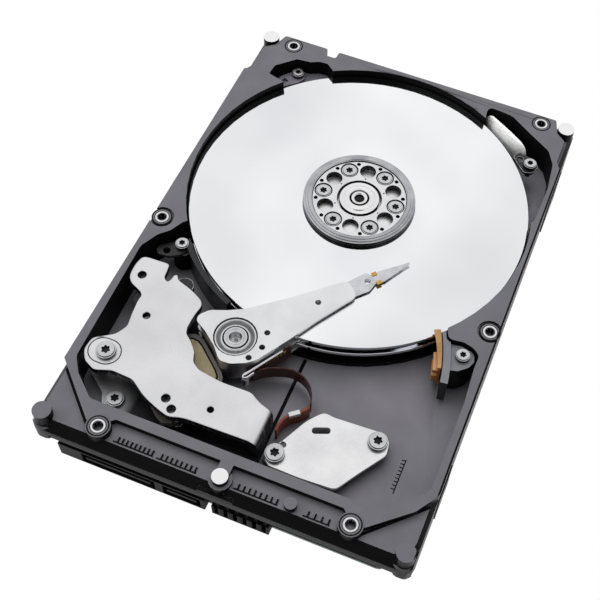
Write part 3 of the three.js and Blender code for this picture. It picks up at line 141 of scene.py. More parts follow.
def roundedLine(points, radius, steps=4, closed=True):
    # a line whose corners become short curves that start at most radius before each corner
    p = np.asarray(points, float)
    radii = np.broadcast_to(np.asarray(radius, float), len(p))
    before, after = np.roll(p, 1, 0) - p, np.roll(p, -1, 0) - p
    lengthBefore = np.linalg.norm(before, axis=1, keepdims=True)
    lengthAfter = np.linalg.norm(after, axis=1, keepdims=True)
    reach = np.minimum(radii[:, None], 0.49 * np.minimum(lengthBefore, lengthAfter))
    start, end = p + before / lengthBefore * reach, p + after / lengthAfter * reach
    t = np.linspace(0, 1, steps + 1)[None, :, None]
    curve = (1 - t) ** 2 * start[:, None] + 2 * t * (1 - t) * p[:, None] + t ** 2 * end[:, None]
    if not closed:
        curve[0], curve[-1] = p[0], p[-1]
    return curve.reshape(-1, p.shape[1])


def turnedForm(profile, centre, edge=0.08, segments=96, closed=False):
    # profile of (radius, height) swept round an upright axis: x = r cos a, y = r sin a, z = height
    line = roundedLine(profile, edge, 3, closed)
    a = np.linspace(0, 2 * np.pi, segments, endpoint=False)
    x = centre[0] + line[:, :1] * np.cos(a)
    y = centre[1] + line[:, :1] * np.sin(a)
    z = np.broadcast_to(line[:, 1:], x.shape)
    points = np.stack([x, y, z], -1).reshape(-1, 3)
    faces = gridFaces(len(line), segments, True, closed)
    if not closed:
        faces += [list(range(segments)), list(range((len(line) - 1) * segments, len(line) * segments))]
    return points, faces


def circleLine(centre, radius, count=48):
    a = np.linspace(0, 2 * np.pi, count, endpoint=False)
    return np.stack([centre[0] + radius * np.cos(a), centre[1] + radius * np.sin(a)], -1)


def signedArea(line):
    x, y = line[:, 0], line[:, 1]
    return 0.5 * float(np.sum(x * np.roll(y, -1) - y * np.roll(x, -1)))


def movedIn(line, distance):
    # every point moves to the left of the line's run by distance, along the mitre of its two sides
    run = np.roll(line, -1, 0) - line
    run /= np.maximum(np.linalg.norm(run, axis=1, keepdims=True), 1e-9)
    left = np.stack([-run[:, 1], run[:, 0]], -1)
    both = left + np.roll(left, 1, 0)
    return line + distance * both / np.maximum(0.5 * np.sum(both * both, axis=1, keepdims=True), 0.4)


def plateForm(lines, low, high, edge=0.12, edgeLow=None, steps=3):
    # a flat sheet between two heights: the largest line is its outline and the others are holes. The rims
    # are quarter circles: inset = edge (1 - sin t), drop = edge (1 - cos t)
    edgeLow = edge if edgeLow is None else edgeLow
    order = sorted((np.asarray(line, float) for line in lines), key=lambda line: -abs(signedArea(line)))
    t = np.linspace(0, np.pi / 2, steps + 1)
    inset = np.concatenate([[edge + 0.03], edge * (1 - np.sin(t)), (edgeLow * (1 - np.sin(t)))[::-1],
                            [edgeLow + 0.03]])
    height = np.concatenate([[high], high - edge * (1 - np.cos(t)), (low + edgeLow * (1 - np.cos(t)))[::-1],
                             [low]])
    points, faces, tops, count = [], [], [], 0
    for i, line in enumerate(order):
        if (signedArea(line) > 0) != (i == 0):
            line = line[::-1]
        rings = [np.column_stack([movedIn(line, d), np.full(len(line), z)]) for d, z in zip(inset, height)]
        points += rings
        faces += [[v + count for v in face] for face in gridFaces(len(rings), len(line))]
        tops.append((count, len(line), len(rings)))
        count += len(line) * len(rings)
    points = np.concatenate(points)
    owner = np.concatenate([np.arange(start, start + size) for start, size, rows in tops])
    below = np.concatenate([np.arange(start + (rows - 1) * size, start + rows * size) for start, size, rows in tops])
    flat = [[Vector((*points[start + k, :2], 0)) for k in range(size)] for start, size, rows in tops]
    for triangle in tessellate_polygon(flat):
        faces.append([int(owner[v]) for v in triangle])
        faces.append([int(below[v]) for v in reversed(triangle)])
    return points, faces


def togetherForm(*forms):
    # several closed forms as one list of points and faces
    points, faces, count = [], [], 0
    for p, f in forms:
        points.append(np.asarray(p, float))
        faces += [[int(v) + count for v in face] for face in f]
        count += len(p)
    return np.concatenate(points), faces


def edgeLines(nodeName, level, ease=0.0):
    # the closed lines round a node's flat top at a level. A line whose corners lie on one circle is
    # redrawn as that circle, and the corners of the others are eased
    sheet = bmesh.new()
    sheet.from_mesh(nodes[nodeName].data)
    bmesh.ops.remove_doubles(sheet, verts=sheet.verts, dist=0.002 * mm)
    flat = {face for face in sheet.faces
            if face.normal.z > 0.99 and abs(face.calc_center_median().z / mm - level) < 0.02}
    border = [edge for edge in sheet.edges if sum(face in flat for face in edge.link_faces) == 1]
    following = {}
    for edge in border:
        loop = next(loop for loop in edge.link_loops if loop.face in flat)
        following[loop.vert] = loop.link_loop_next.vert
    lines = []
    while following:
        first, vert = following.popitem()
        line = [first]
        while vert is not first and vert in following:
            line.append(vert)
            vert = following.pop(vert)
        line = np.array([v.co.to_2d() for v in line]) / mm
        centre = (line.min(0) + line.max(0)) / 2
        radius = np.linalg.norm(line - centre, axis=1)
        if len(line) > 5 and np.ptp(radius) < 0.04 * radius.max():
            lines.append(circleLine(centre, radius.max(), 48 if radius.max() < 4 else 128))
        else:
            lines.append(roundedLine(line, ease, 4) if ease else line)
    sheet.free()
    return lines


def softened(nodeName, width, material, segments=2, angle=28, edgeFinish=None, lowered=None):
    # the node's own shape, merged and with its sharp edges rounded to width millimetres; the rounded
    # strips can have a finish of their own
    mesh = bpy.data.meshes.new(nodeName + "_form")
    sheet = bmesh.new()
    sheet.from_mesh(nodes[nodeName].data)
    for vert in sheet.verts if lowered else ():
        if abs(vert.co.z / mm - lowered[0]) < 0.02:
            vert.co.z = lowered[1] * mm
    bmesh.ops.remove_doubles(sheet, verts=sheet.verts, dist=0.002 * mm)
    bmesh.ops.dissolve_limit(sheet, angle_limit=math.radians(0.8), verts=sheet.verts, edges=sheet.edges)
    sheet.to_mesh(mesh)
    sheet.free()
    piece = placePiece(nodeName + "_form", mesh, material, bodyOfNode[nodeName], [nodeName], angle)
    bevel = piece.modifiers.new("edges", "BEVEL")
    bevel.width = width * mm
    bevel.segments = segments
    bevel.limit_method = "ANGLE"
    bevel.angle_limit = math.radians(angle)
    bevel.use_clamp_overlap = True
    bevel.harden_normals = True
    if edgeFinish:
        mesh.materials.append(edgeFinish)
        bevel.material = 1
    return piece


def boxMm(nodeName):
    low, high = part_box(nodeName)
    return np.array(low) / mm, np.array(high) / mm


def middle(nodeName):
    low, high = boxMm(nodeName)
    return (low + high) / 2


# finishes
# edge and edgeShade are the two ends of the painted highlight on the rounded edges; the wall colour is partly painted
# shade
castLook = {"flat": "#656469", "wall": "#0b0b0c", "fleck": "#161618", "bare": "#fbfbfc", "gritMm": 0.35,
            "mottleMm": 9.0, "flatRoughness": 0.5, "wallRoughness": 0.34, "edge": "#d6d5da", "edgeShade": "#2a2a2d",
            "floorTop": 10.0, "floorGain": 1.22, "specular": 0.04,
            "unmilledAndShadedLevels": [(10.0, 0.12), (17.28, 0.1), (7.6, 0.06), (15.7, 0.06), (8.9, 0.12), (7.1, 0.22)],
            "cornerShadeLine": (0.700, -0.714, 74.64), "cornerShadeLevel": 17.0, "cornerShadeWidth": 0.75,
            "shadedSideFrom": 50.0}


def eCoatedCasting():
    # die-cast aluminium under black electrocoat: satin grey where it was milled flat before the coat, near black and
    # faintly pebbled on the walls, part as cast and part painted shade, and bare white metal on some post tops as a
    # painted reflection
    material, tree = newMaterial("electrocoated die-cast aluminium")
    place = objectPlace(tree)
    height = addNode(tree, "SeparateXYZ", {"Vector": place})
    facing = addNode(tree, "SeparateXYZ", {"Vector": (addNode(tree, "NewGeometry"), "Normal")})
    # up-facing faces take the grey and all others the near-black wall colour: part the milled finish, part painted
    # shade on the walls
    flatShare = addNode(tree, "MapRange", {"Value": (facing, "Z"), "From Min": 0.96, "From Max": 0.99})
    # the shelves round the posts and the tick marks were never milled, and the floor's groove is painted dark as
    # shade
    for level, spread in castLook["unmilledAndShadedLevels"]:
        there = addNode(tree, "Math", {0: (height, "Z"), 1: level, 2: spread}, operation="COMPARE")
        milledAndLitHere = addNode(tree, "Math", {0: 1.0, 1: there}, operation="SUBTRACT")
        flatShare = addNode(tree, "Math", {0: flatShare, 1: milledAndLitHere}, operation="MULTIPLY")
    # a painted shade line at the foot of the walls that cut off the front corners, and painted shade on the round of
    # the right side
    across = addNode(tree, "Math", {0: (height, "X")}, operation="ABSOLUTE")
    outward, along, reach = castLook["cornerShadeLine"]
    outer = addNode(tree, "Math", {0: across, 1: outward, 2: -reach - castLook["cornerShadeWidth"] / 2},
                    operation="MULTIPLY_ADD")
    depth = addNode(tree, "Math", {0: (height, "Y"), 1: along, 2: outer}, operation="MULTIPLY_ADD")
    near = addNode(tree, "Math", {0: depth, 1: 0.0, 2: castLook["cornerShadeWidth"] / 2}, operation="COMPARE")
    level = addNode(tree, "Math", {0: (height, "Z"), 1: castLook["cornerShadeLevel"], 2: 0.2}, operation="COMPARE")
    foot = addNode(tree, "Math", {0: near, 1: level}, operation="MULTIPLY")
    side = addNode(tree, "Math", {0: (height, "X"), 1: castLook["shadedSideFrom"]}, operation="GREATER_THAN")
    paintedShade = addNode(tree, "Math", {0: foot, 1: side}, operation="MAXIMUM")
    left = addNode(tree, "Math", {0: 1.0, 1: paintedShade}, operation="SUBTRACT")
    flatShare = addNode(tree, "Math", {0: flatShare, 1: left}, operation="MULTIPLY")
    grit = addNode(tree, "TexNoise", {"Vector": place, "Scale": 1 / castLook["gritMm"], "Detail": 4.0,
                                      "Roughness": 0.65})
    mottle = addNode(tree, "TexNoise", {"Vector": place, "Scale": 1 / castLook["mottleMm"], "Detail": 3.0})
    fleckShare = addNode(tree, "MapRange", {"Value": grit, "From Min": 0.52, "From Max": 0.78})
    wall = addNode(tree, "Mix", {0: fleckShare, 6: colour(castLook["wall"]), 7: colour(castLook["fleck"])},
                   data_type="RGBA")
    lighter = addNode(tree, "MapRange", {"Value": mottle, "From Min": 0.3, "From Max": 0.7, "To Min": 0.92,
                                         "To Max": 1.08})
    flat = addNode(tree, "Mix", {0: 1.0, 6: colour(castLook["flat"]), 7: lighter}, data_type="RGBA",
                   blend_type="MULTIPLY")
    # the cavity floor sees more of the softbox than its coat tells, so it is a little lighter than the deck
    floorShare = addNode(tree, "MapRange", {"Value": (height, "Z"), "From Min": castLook["floorTop"] + 0.3,
                                            "From Max": castLook["floorTop"], "To Min": 1.0,
                                            "To Max": castLook["floorGain"]})
    floored = addNode(tree, "Mix", {0: 1.0, 6: (flat, 2), 7: floorShare}, data_type="RGBA",
                      blend_type="MULTIPLY")
    coat = addNode(tree, "Mix", {0: flatShare, 6: (wall, 2), 7: (floored, 2)}, data_type="RGBA")
    # the rear and middle post tops are bare white metal, a painted reflection, since all post tops are alike
    postTop = addNode(tree, "MapRange", {"Value": (height, "Z"), "From Min": 19.93, "From Max": 19.96})
    rear = addNode(tree, "MapRange", {"Value": (height, "Y"), "From Min": 60.0, "From Max": 61.0})
    centre = addNode(tree, "Math", {0: (height, "X")}, operation="ABSOLUTE")
    front = addNode(tree, "MapRange", {"Value": centre, "From Min": 5.0, "From Max": 4.0})
    either = addNode(tree, "Math", {0: rear, 1: front}, operation="MAXIMUM")
    bareShare = addNode(tree, "Math", {0: either, 1: postTop}, operation="MULTIPLY")
    skin = addNode(tree, "Mix", {0: bareShare, 6: (coat, 2), 7: colour(castLook["bare"])}, data_type="RGBA")
    rough = addNode(tree, "Mix", {0: flatShare, 2: castLook["wallRoughness"], 3: castLook["flatRoughness"]})
    bump = addNode(tree, "Bump", {"Height": grit, "Distance": 0.03 * mm, "Strength": 0.5})
    shader = addNode(tree, "BsdfPrincipled", {
        "Base Color": (skin, 2), "Roughness": rough, "Metallic": bareShare, "Normal": bump,
        "Specular IOR Level": castLook["specular"]})
    addNode(tree, "OutputMaterial", {"Surface": shader})
    return material


def edgeHighlightAndWear(name, pale, dark, metallic, shadedFrom=1000.0):
    # painted highlights on the rounded edges, brightest where the edge looks up and broken up by wear;
    # beyond shadedFrom in x they keep the dark colour as painted shade
    material, tree = newMaterial(name)
    facing = addNode(tree, "SeparateXYZ", {"Vector": (addNode(tree, "NewGeometry"), "Normal")})
    upward = addNode(tree, "MapRange", {"Value": (facing, "Z"), "From Min": 0.25, "From Max": 0.75})
    wear = addNode(tree, "TexNoise", {"Vector": objectPlace(tree), "Scale": 0.6, "Detail": 4.0})
    worn = addNode(tree, "MapRange", {"Value": wear, "From Min": 0.3, "From Max": 0.6, "To Min": 0.45})
    share = addNode(tree, "Math", {0: upward, 1: worn}, operation="MULTIPLY")
    spot = addNode(tree, "SeparateXYZ", {"Vector": objectPlace(tree)})
    milledAndLitHere = addNode(tree, "Math", {0: (spot, "X"), 1: shadedFrom}, operation="LESS_THAN")
    share = addNode(tree, "Math", {0: share, 1: milledAndLitHere}, operation="MULTIPLY")
    tone = addNode(tree, "Mix", {0: share, 6: colour(dark), 7: colour(pale)}, data_type="RGBA")
    shader = addNode(tree, "BsdfPrincipled", {"Base Color": (tone, 2), "Roughness": 0.38,
                                              "Metallic": metallic})
    addNode(tree, "OutputMaterial", {"Surface": shader})
    return material


def brightMetal(name, base, dark, roughness, spread, grainMm, mottleMm=6.0, ringsAt=None, ringMm=0.3,
                bumpMm=0.004, shadedEnd=None, sides=None):
    # a bare metal: colour and roughness drift a little across the face, fine grain or lathe rings in
    # relief. shadedEnd = (x where it starts, x where it is full, colour) darkens one end with painted shade. Sides =
    # (colour, lighter colour) is what the upright faces mirror: the dark room, in upright streaks
    material, tree = newMaterial(name)
    place = objectPlace(tree, ringsAt or (0, 0, 0))
    mottle = addNode(tree, "TexNoise", {"Vector": place, "Scale": 1 / mottleMm, "Detail": 4.0})
    fine = addNode(tree, "TexNoise", {"Vector": place, "Scale": 1 / grainMm, "Detail": 2.0})
    share = addNode(tree, "MapRange", {"Value": mottle, "From Min": 0.35, "From Max": 0.7})
    tone = addNode(tree, "Mix", {0: share, 6: colour(base), 7: colour(dark)}, data_type="RGBA")
    speck = addNode(tree, "MapRange", {"Value": fine, "From Min": 0.3, "From Max": 0.7, "To Min": 0.96,
                                       "To Max": 1.04})
    shade = addNode(tree, "Mix", {0: 1.0, 6: (tone, 2), 7: speck}, data_type="RGBA", blend_type="MULTIPLY")
    if shadedEnd:
        across = addNode(tree, "SeparateXYZ", {"Vector": place})
        shadeShare = addNode(tree, "MapRange", {"Value": (across, "X"), "From Min": shadedEnd[0], "From Max": shadedEnd[1]})
        shade = addNode(tree, "Mix", {0: shadeShare, 6: (shade, 2), 7: colour(shadedEnd[2])}, data_type="RGBA")
    if sides:
        facing = addNode(tree, "SeparateXYZ", {"Vector": (addNode(tree, "NewGeometry"), "Normal")})
        upward = addNode(tree, "MapRange", {"Value": (facing, "Z"), "From Min": 0.45, "From Max": 0.8})
        upright = addNode(tree, "TexNoise", {"Vector": objectPlace(tree, (0, 0, 0), (1, 1, 0.05)), "Scale": 1.1,
                                             "Detail": 3.0})
        streak = addNode(tree, "MapRange", {"Value": upright, "From Min": 0.5, "From Max": 0.68})
        mirrored = addNode(tree, "Mix", {0: streak, 6: colour(sides[0]), 7: colour(sides[1])},
                           data_type="RGBA")
        shade = addNode(tree, "Mix", {0: upward, 6: (mirrored, 2), 7: (shade, 2)}, data_type="RGBA")
    rough = addNode(tree, "MapRange", {"Value": mottle, "From Min": 0.3, "From Max": 0.7,
                                       "To Min": roughness - spread, "To Max": roughness + spread})
    if ringsAt:
        radius = addNode(tree, "VectorMath", {0: place, 1: (1.0, 1.0, 0.0)}, operation="MULTIPLY")
        length = addNode(tree, "VectorMath", {0: radius}, operation="LENGTH")
        turns = addNode(tree, "Math", {0: (length, "Value"), 1: 2 * math.pi / ringMm}, operation="MULTIPLY")
        relief = addNode(tree, "Math", {0: turns}, operation="SINE")
    else:
        relief = fine
    bump = addNode(tree, "Bump", {"Height": relief, "Distance": bumpMm * mm, "Strength": 0.6})
    shader = addNode(tree, "BsdfPrincipled", {"Base Color": (shade, 2), "Roughness": rough, "Metallic": 1.0,
                                              "Normal": bump})
    addNode(tree, "OutputMaterial", {"Surface": shader})
    return material


def mouldedPlastic(name, base, light, roughness, grainMm=0.4, bumpMm=0.015, specular=0.4, glow=0.0,
                   sides=None):
    # an opaque moulding: spark-eroded grain and slight changes of tone; its sides can have another colour,
    # where the eye sees deeper into the resin or into the shade
    material, tree = newMaterial(name)
    place = objectPlace(tree)
    fine = addNode(tree, "TexNoise", {"Vector": place, "Scale": 1 / grainMm, "Detail": 3.0})
    mottle = addNode(tree, "TexNoise", {"Vector": place, "Scale": 0.2, "Detail": 3.0})
    share = addNode(tree, "MapRange", {"Value": mottle, "From Min": 0.35, "From Max": 0.7})
    tone = addNode(tree, "Mix", {0: share, 6: colour(base), 7: colour(light)}, data_type="RGBA")
    if sides:
        facing = addNode(tree, "SeparateXYZ", {"Vector": (addNode(tree, "NewGeometry"), "Normal")})
        upward = addNode(tree, "MapRange", {"Value": (facing, "Z"), "From Min": 0.5, "From Max": 0.9})
        tone = addNode(tree, "Mix", {0: upward, 6: colour(sides), 7: (tone, 2)}, data_type="RGBA")
    rough = addNode(tree, "MapRange", {"Value": fine, "To Min": roughness - 0.06, "To Max": roughness + 0.06})
    bump = addNode(tree, "Bump", {"Height": fine, "Distance": bumpMm * mm, "Strength": 0.6})
    shader = addNode(tree, "BsdfPrincipled", {
        "Base Color": (tone, 2), "Roughness": rough, "Normal": bump, "Specular IOR Level": specular,
        "Subsurface Weight": glow, "Subsurface Radius": (0.8 * mm, 0.35 * mm, 0.1 * mm),
        "Subsurface Scale": 1.0})
    addNode(tree, "OutputMaterial", {"Surface": shader})
    return material


def woundWire(name, wire, shade, corners, pitchMm):
    # enamelled copper wire laid in turns round the coil: fine lines that run along each side. The depth
    # under the coil's edge is the least distance to its sides, and the turns are a wave along that depth
    material, tree = newMaterial(name)
    place = objectPlace(tree)
    depth = None
    for start, end in zip(corners, np.roll(corners, -1, 0)):
        run = (end - start) / np.linalg.norm(end - start)
        inward = (-run[1], run[0], 0.0)
        along = addNode(tree, "VectorMath", {0: place, 1: inward}, operation="DOT_PRODUCT")
        here = addNode(tree, "Math", {0: (along, "Value"), 1: float(np.dot(start, inward[:2]))},
                       operation="SUBTRACT")
        depth = here if depth is None else addNode(tree, "Math", {0: depth, 1: here}, operation="MINIMUM")
    turns = addNode(tree, "Math", {0: depth, 1: 2 * math.pi / pitchMm}, operation="MULTIPLY")
    wave = addNode(tree, "Math", {0: turns}, operation="SINE")
    line = addNode(tree, "MapRange", {"Value": wave, "From Min": -1.0, "From Max": 1.0})
    drift = addNode(tree, "TexNoise", {"Vector": place, "Scale": 0.8, "Detail": 3.0})
    share = addNode(tree, "Mix", {0: 0.45, 2: line, 3: drift})
    tone = addNode(tree, "Mix", {0: share, 6: colour(shade), 7: colour(wire)}, data_type="RGBA")
    bump = addNode(tree, "Bump", {"Height": line, "Distance": 0.06 * mm, "Strength": 0.7})
    shader = addNode(tree, "BsdfPrincipled", {"Base Color": (tone, 2), "Roughness": 0.3, "Metallic": 0.8,
                                              "Normal": bump})
    addNode(tree, "OutputMaterial", {"Surface": shader})
    return material


def diskMirror():
    # sputtered film on a polished aluminium disk: a cool mirror with a few broad, faint bands
    material, tree = newMaterial("sputtered disk mirror")
    place = objectPlace(tree, middle("upper_platter"))
    drift = addNode(tree, "TexNoise", {"Vector": place, "Scale": 1 / 38, "Detail": 2.0})
    share = addNode(tree, "MapRange", {"Value": drift, "From Min": 0.35, "From Max": 0.68})
    tone = addNode(tree, "Mix", {0: share, 6: colour("#f6f7f9"), 7: colour("#ebedf0")}, data_type="RGBA")
    rough = addNode(tree, "MapRange", {"Value": drift, "To Min": 0.035, "To Max": 0.075})
    shader = addNode(tree, "BsdfPrincipled", {"Base Color": (tone, 2), "Roughness": rough, "Metallic": 1.0})
    addNode(tree, "OutputMaterial", {"Surface": shader})
    return material


def filterFelt():
    # spun polyester felt: white, fully matt, with fine crossing fibres
    material, tree = newMaterial("spun polyester filter felt")
    place = objectPlace(tree, (0, 0, 0), (1, 1, 0.25))
    fibres = addNode(tree, "TexNoise", {"Vector": place, "Scale": 1 / 0.35, "Detail": 6.0, "Roughness": 0.7})
    share = addNode(tree, "MapRange", {"Value": fibres, "From Min": 0.35, "From Max": 0.65})
    tone = addNode(tree, "Mix", {0: share, 6: colour("#dcdcda"), 7: colour("#fbfbf9")}, data_type="RGBA")
    bump = addNode(tree, "Bump", {"Height": fibres, "Distance": 0.08 * mm, "Strength": 0.8})
    shader = addNode(tree, "BsdfPrincipled", {"Base Color": (tone, 2), "Roughness": 0.95, "Normal": bump,
                                              "Sheen Weight": 0.3, "Specular IOR Level": 0.2})
    addNode(tree, "OutputMaterial", {"Surface": shader})
    return material


def flexLaminate(name, film, trace, traceMm, roughness):
    # polyimide film over copper tracks: a glossy red-brown skin with lengthwise lines a little lighter;
    # the lines follow the piece's height, which is across the strip
    material, tree = newMaterial(name)
    place = addNode(tree, "SeparateXYZ", {"Vector": objectPlace(tree)})
    turns = addNode(tree, "Math", {0: (place, "Z"), 1: 2 * math.pi / traceMm}, operation="MULTIPLY")
    wave = addNode(tree, "Math", {0: turns}, operation="SINE")
    line = addNode(tree, "MapRange", {"Value": wave, "From Min": 0.1, "From Max": 0.6})
    drift = addNode(tree, "TexNoise", {"Vector": objectPlace(tree), "Scale": 0.5, "Detail": 3.0})
    share = addNode(tree, "Math", {0: line, 1: drift}, operation="MULTIPLY")
    tone = addNode(tree, "Mix", {0: share, 6: colour(film), 7: colour(trace)}, data_type="RGBA")
    bump = addNode(tree, "Bump", {"Height": line, "Distance": 0.02 * mm, "Strength": 0.5})
    shader = addNode(tree, "BsdfPrincipled", {"Base Color": (tone, 2), "Roughness": roughness, "Normal": bump,
                                              "Specular IOR Level": 0.25, "Coat Weight": 0.12,
                                              "Coat Roughness": 0.15})
    addNode(tree, "OutputMaterial", {"Surface": shader})
    return material


def solderMask():
    # glass-epoxy board under green solder mask: glossy green, with copper tracks showing as paler paths
    material, tree = newMaterial("solder-masked circuit board")
    place = objectPlace(tree)
    cells = addNode(tree, "TexVoronoi", {"Vector": place, "Scale": 1 / 3.2}, distance="CHEBYCHEV",
                    feature="DISTANCE_TO_EDGE")
    track = addNode(tree, "MapRange", {"Value": cells, "From Min": 0.03, "From Max": 0.07, "To Min": 1.0,
                                       "To Max": 0.0})
    weave = addNode(tree, "TexNoise", {"Vector": place, "Scale": 1 / 0.5, "Detail": 2.0})
    share = addNode(tree, "Math", {0: track, 1: weave}, operation="MULTIPLY")
    tone = addNode(tree, "Mix", {0: share, 6: colour("#12352a"), 7: colour("#2f6b4f")}, data_type="RGBA")
    bump = addNode(tree, "Bump", {"Height": track, "Distance": 0.03 * mm, "Strength": 0.5})
    shader = addNode(tree, "BsdfPrincipled", {"Base Color": (tone, 2), "Roughness": 0.32, "Normal": bump,
                                              "Coat Weight": 0.3, "Coat Roughness": 0.2})
    addNode(tree, "OutputMaterial", {"Surface": shader})
    return material


def openCellFoam():
    # polyurethane damping foam: charcoal, matt, open pores
    material, tree = newMaterial("open-cell damping foam")
    place = objectPlace(tree)
    pores = addNode(tree, "TexVoronoi", {"Vector": place, "Scale": 1 / 0.45})
    tone = addNode(tree, "Mix", {0: pores, 6: colour("#1e1e20"), 7: colour("#4a4a4d")}, data_type="RGBA")
    bump = addNode(tree, "Bump", {"Height": pores, "Distance": 0.15 * mm, "Strength": 0.9})
    shader = addNode(tree, "BsdfPrincipled", {"Base Color": (tone, 2), "Roughness": 0.95, "Normal": bump,
                                              "Specular IOR Level": 0.15})
    addNode(tree, "OutputMaterial", {"Surface": shader})
    return material


spindleCentre = middle("upper_platter")
pivotCentre = middle("pivot_bearing")
casting = eCoatedCasting()
castEdgeHighlight = edgeHighlightAndWear("painted edge highlights of the casting", castLook["edge"], castLook["edgeShade"], 0.7,
                      castLook["shadedSideFrom"])
mouldEdgeHighlight = edgeHighlightAndWear("painted edge highlights of the black mouldings", "#d3d3d6", "#1b1b1c", 0.5)
milled = brightMetal("milled aluminium", "#ecedee", "#e2e3e5", 0.4, 0.05, 0.25, 7.0)
polishedPlate = brightMetal("bright stainless plate", "#f3f3f4", "#e6e6e8", 0.34, 0.06, 0.3, 9.0)
stamped = brightMetal("nickel-plated stamped steel", "#ededef", "#e4e4e7", 0.42, 0.05, 0.3, 12.0)
# bentPlate, turnedRim, clampSteel, crownSteel and screwSteel: their sides colours are painted reflections on the
# upright faces
bentPlate = brightMetal("nickel-plated steel with bent ends", "#e9e9eb", "#e0e0e3", 0.42, 0.05, 0.3, 12.0,
                        sides=("#1b1b1d", "#7d7d80"))
turnedRim = brightMetal("lathe-turned clamp steel", "#c3c4c7", "#a3a4a8", 0.28, 0.05, 0.2, 5.0,
                        ringsAt=tuple(spindleCentre), ringMm=0.5, bumpMm=0.012, sides=("#0f0f10", "#2b2b2d"))
clampSteel = brightMetal("ground clamp face", "#efeff1", "#e3e3e6", 0.4, 0.05, 0.3, 8.0,
                         sides=("#161617", "#6c6c70"))
# the lower yoke is darkened beyond x = -31 mm with painted shade under the upper plate
shadedYoke = brightMetal("nickel-plated steel with painted shade at one end", "#dadadc", "#cfcfd2", 0.42, 0.05, 0.3, 12.0,
                         shadedEnd=(-38.0, -31.0, "#2e2e30"))
lathed = brightMetal("lathe-turned aluminium", "#e4e5e7", "#d4d5d8", 0.24, 0.05, 0.2, 5.0,
                     tuple(spindleCentre), 0.35, 0.006)
bearingSteel = brightMetal("ground bearing steel", "#d6d7d9", "#c4c5c8", 0.24, 0.05, 0.2, 5.0,
                           tuple(pivotCentre), 0.4, 0.006)
crownSteel = brightMetal("bright turned spindle crown", "#f3f3f4", "#e8e8ea", 0.34, 0.05, 0.2, 5.0,
                         sides=("#1d1d1f", "#3c3c3f"))
screwSteel = brightMetal("zinc-plated screw steel", "#d8d9db", "#c6c7ca", 0.33, 0.05, 0.2, 2.0,
                         sides=("#3c3c3e", "#58585b"))
shadowedSteel = brightMetal("steel painted dark as shade in the recesses", "#3a3a3c", "#2a2a2c", 0.5, 0.05, 0.2, 2.0)
bearingSeal = brightMetal("pressed bearing shield", "#77787b", "#66676a", 0.4, 0.05, 0.2, 2.0)
threadBright = brightMetal("freshly cut screw hole rim", "#f2f2f3", "#dfe0e2", 0.3, 0.05, 0.2, 2.0)
springSteel = brightMetal("stainless spring steel", "#d6d7da", "#c4c5c9", 0.26, 0.05, 0.2, 3.0)
platedMagnet = brightMetal("nickel-plated magnet", "#b9babd", "#a4a5a9", 0.22, 0.05, 0.3, 4.0)
goldPads = brightMetal("gold-plated copper", "#d8b05a", "#b98c3c", 0.3, 0.05, 0.2, 1.0)
copperWire = brightMetal("enamelled copper wire", "#a89a72", "#86754c", 0.4, 0.06, 0.2, 2.0)
mirror = diskMirror()
coilPoints = np.array([v.co.to_2d() for v in nodes["coil_frame"].data.vertices]) / mm - pivotCentre[:2]
armAngle = math.radians(49.75)
armAxis = np.array([math.cos(armAngle), math.sin(armAngle)])
armSide = np.array([-armAxis[1], armAxis[0]])
coilLength, coilWidth = coilPoints @ armAxis, coilPoints @ armSide
coilEnds = [coilLength.min(), coilLength.max()]
coilHalf = [np.abs(coilWidth[coilLength < coilEnds[0] + 4]).max(), np.abs(coilWidth[coilLength > coilEnds[1] - 3]).max()]
coilCorners = np.array([pivotCentre[:2] + x * armAxis + y * armSide for x, y in (
    (coilEnds[0], -coilHalf[0]), (coilEnds[1], -coilHalf[1]), (coilEnds[1], coilHalf[1]),
    (coilEnds[0], coilHalf[0]))])
windings = woundWire("wound voice coil", "#c3b692", "#5d5442", coilCorners, 0.42)
blackPlastic = mouldedPlastic("black glass-filled moulding", "#0f0f10", "#171719", 0.3, specular=0.5)
greyPlastic = mouldedPlastic("grey-violet bracket moulding", "#5d5a63", "#6a6770", 0.48)
# the ramp bracket's upright sides are painted near black as shade
rampGrey = mouldedPlastic("grey ramp bracket moulding", "#66676c", "#707177", 0.45, sides="#0d0d0e")
deepBlack = mouldedPlastic("matt black connector moulding", "#0b0b0c", "#121213", 0.5, specular=0.08)
amberPlastic = mouldedPlastic("amber acetal ramp", "#8d6a42", "#a88154", 0.34, specular=0.5, glow=0.05,
                              sides="#96560c")
chipResin = mouldedPlastic("chip moulding resin", "#1b1b1d", "#262628", 0.6, 0.2, 0.02)
frameResin = mouldedPlastic("grey-brown coil overmould", "#4d4743", "#5d5650", 0.35, specular=0.5)
felt = filterFelt()
flexFilm = flexLaminate("polyimide flex", "#2a0e08", "#4c1f10", 0.42, 0.32)
flexStiff = flexLaminate("stiffened polyimide flex", "#6c2f1a", "#a05a36", 0.9, 0.3)
maskedBoard = solderMask()
foamSheet = openCellFoam()
print("finishes made:", len(bpy.data.materials))


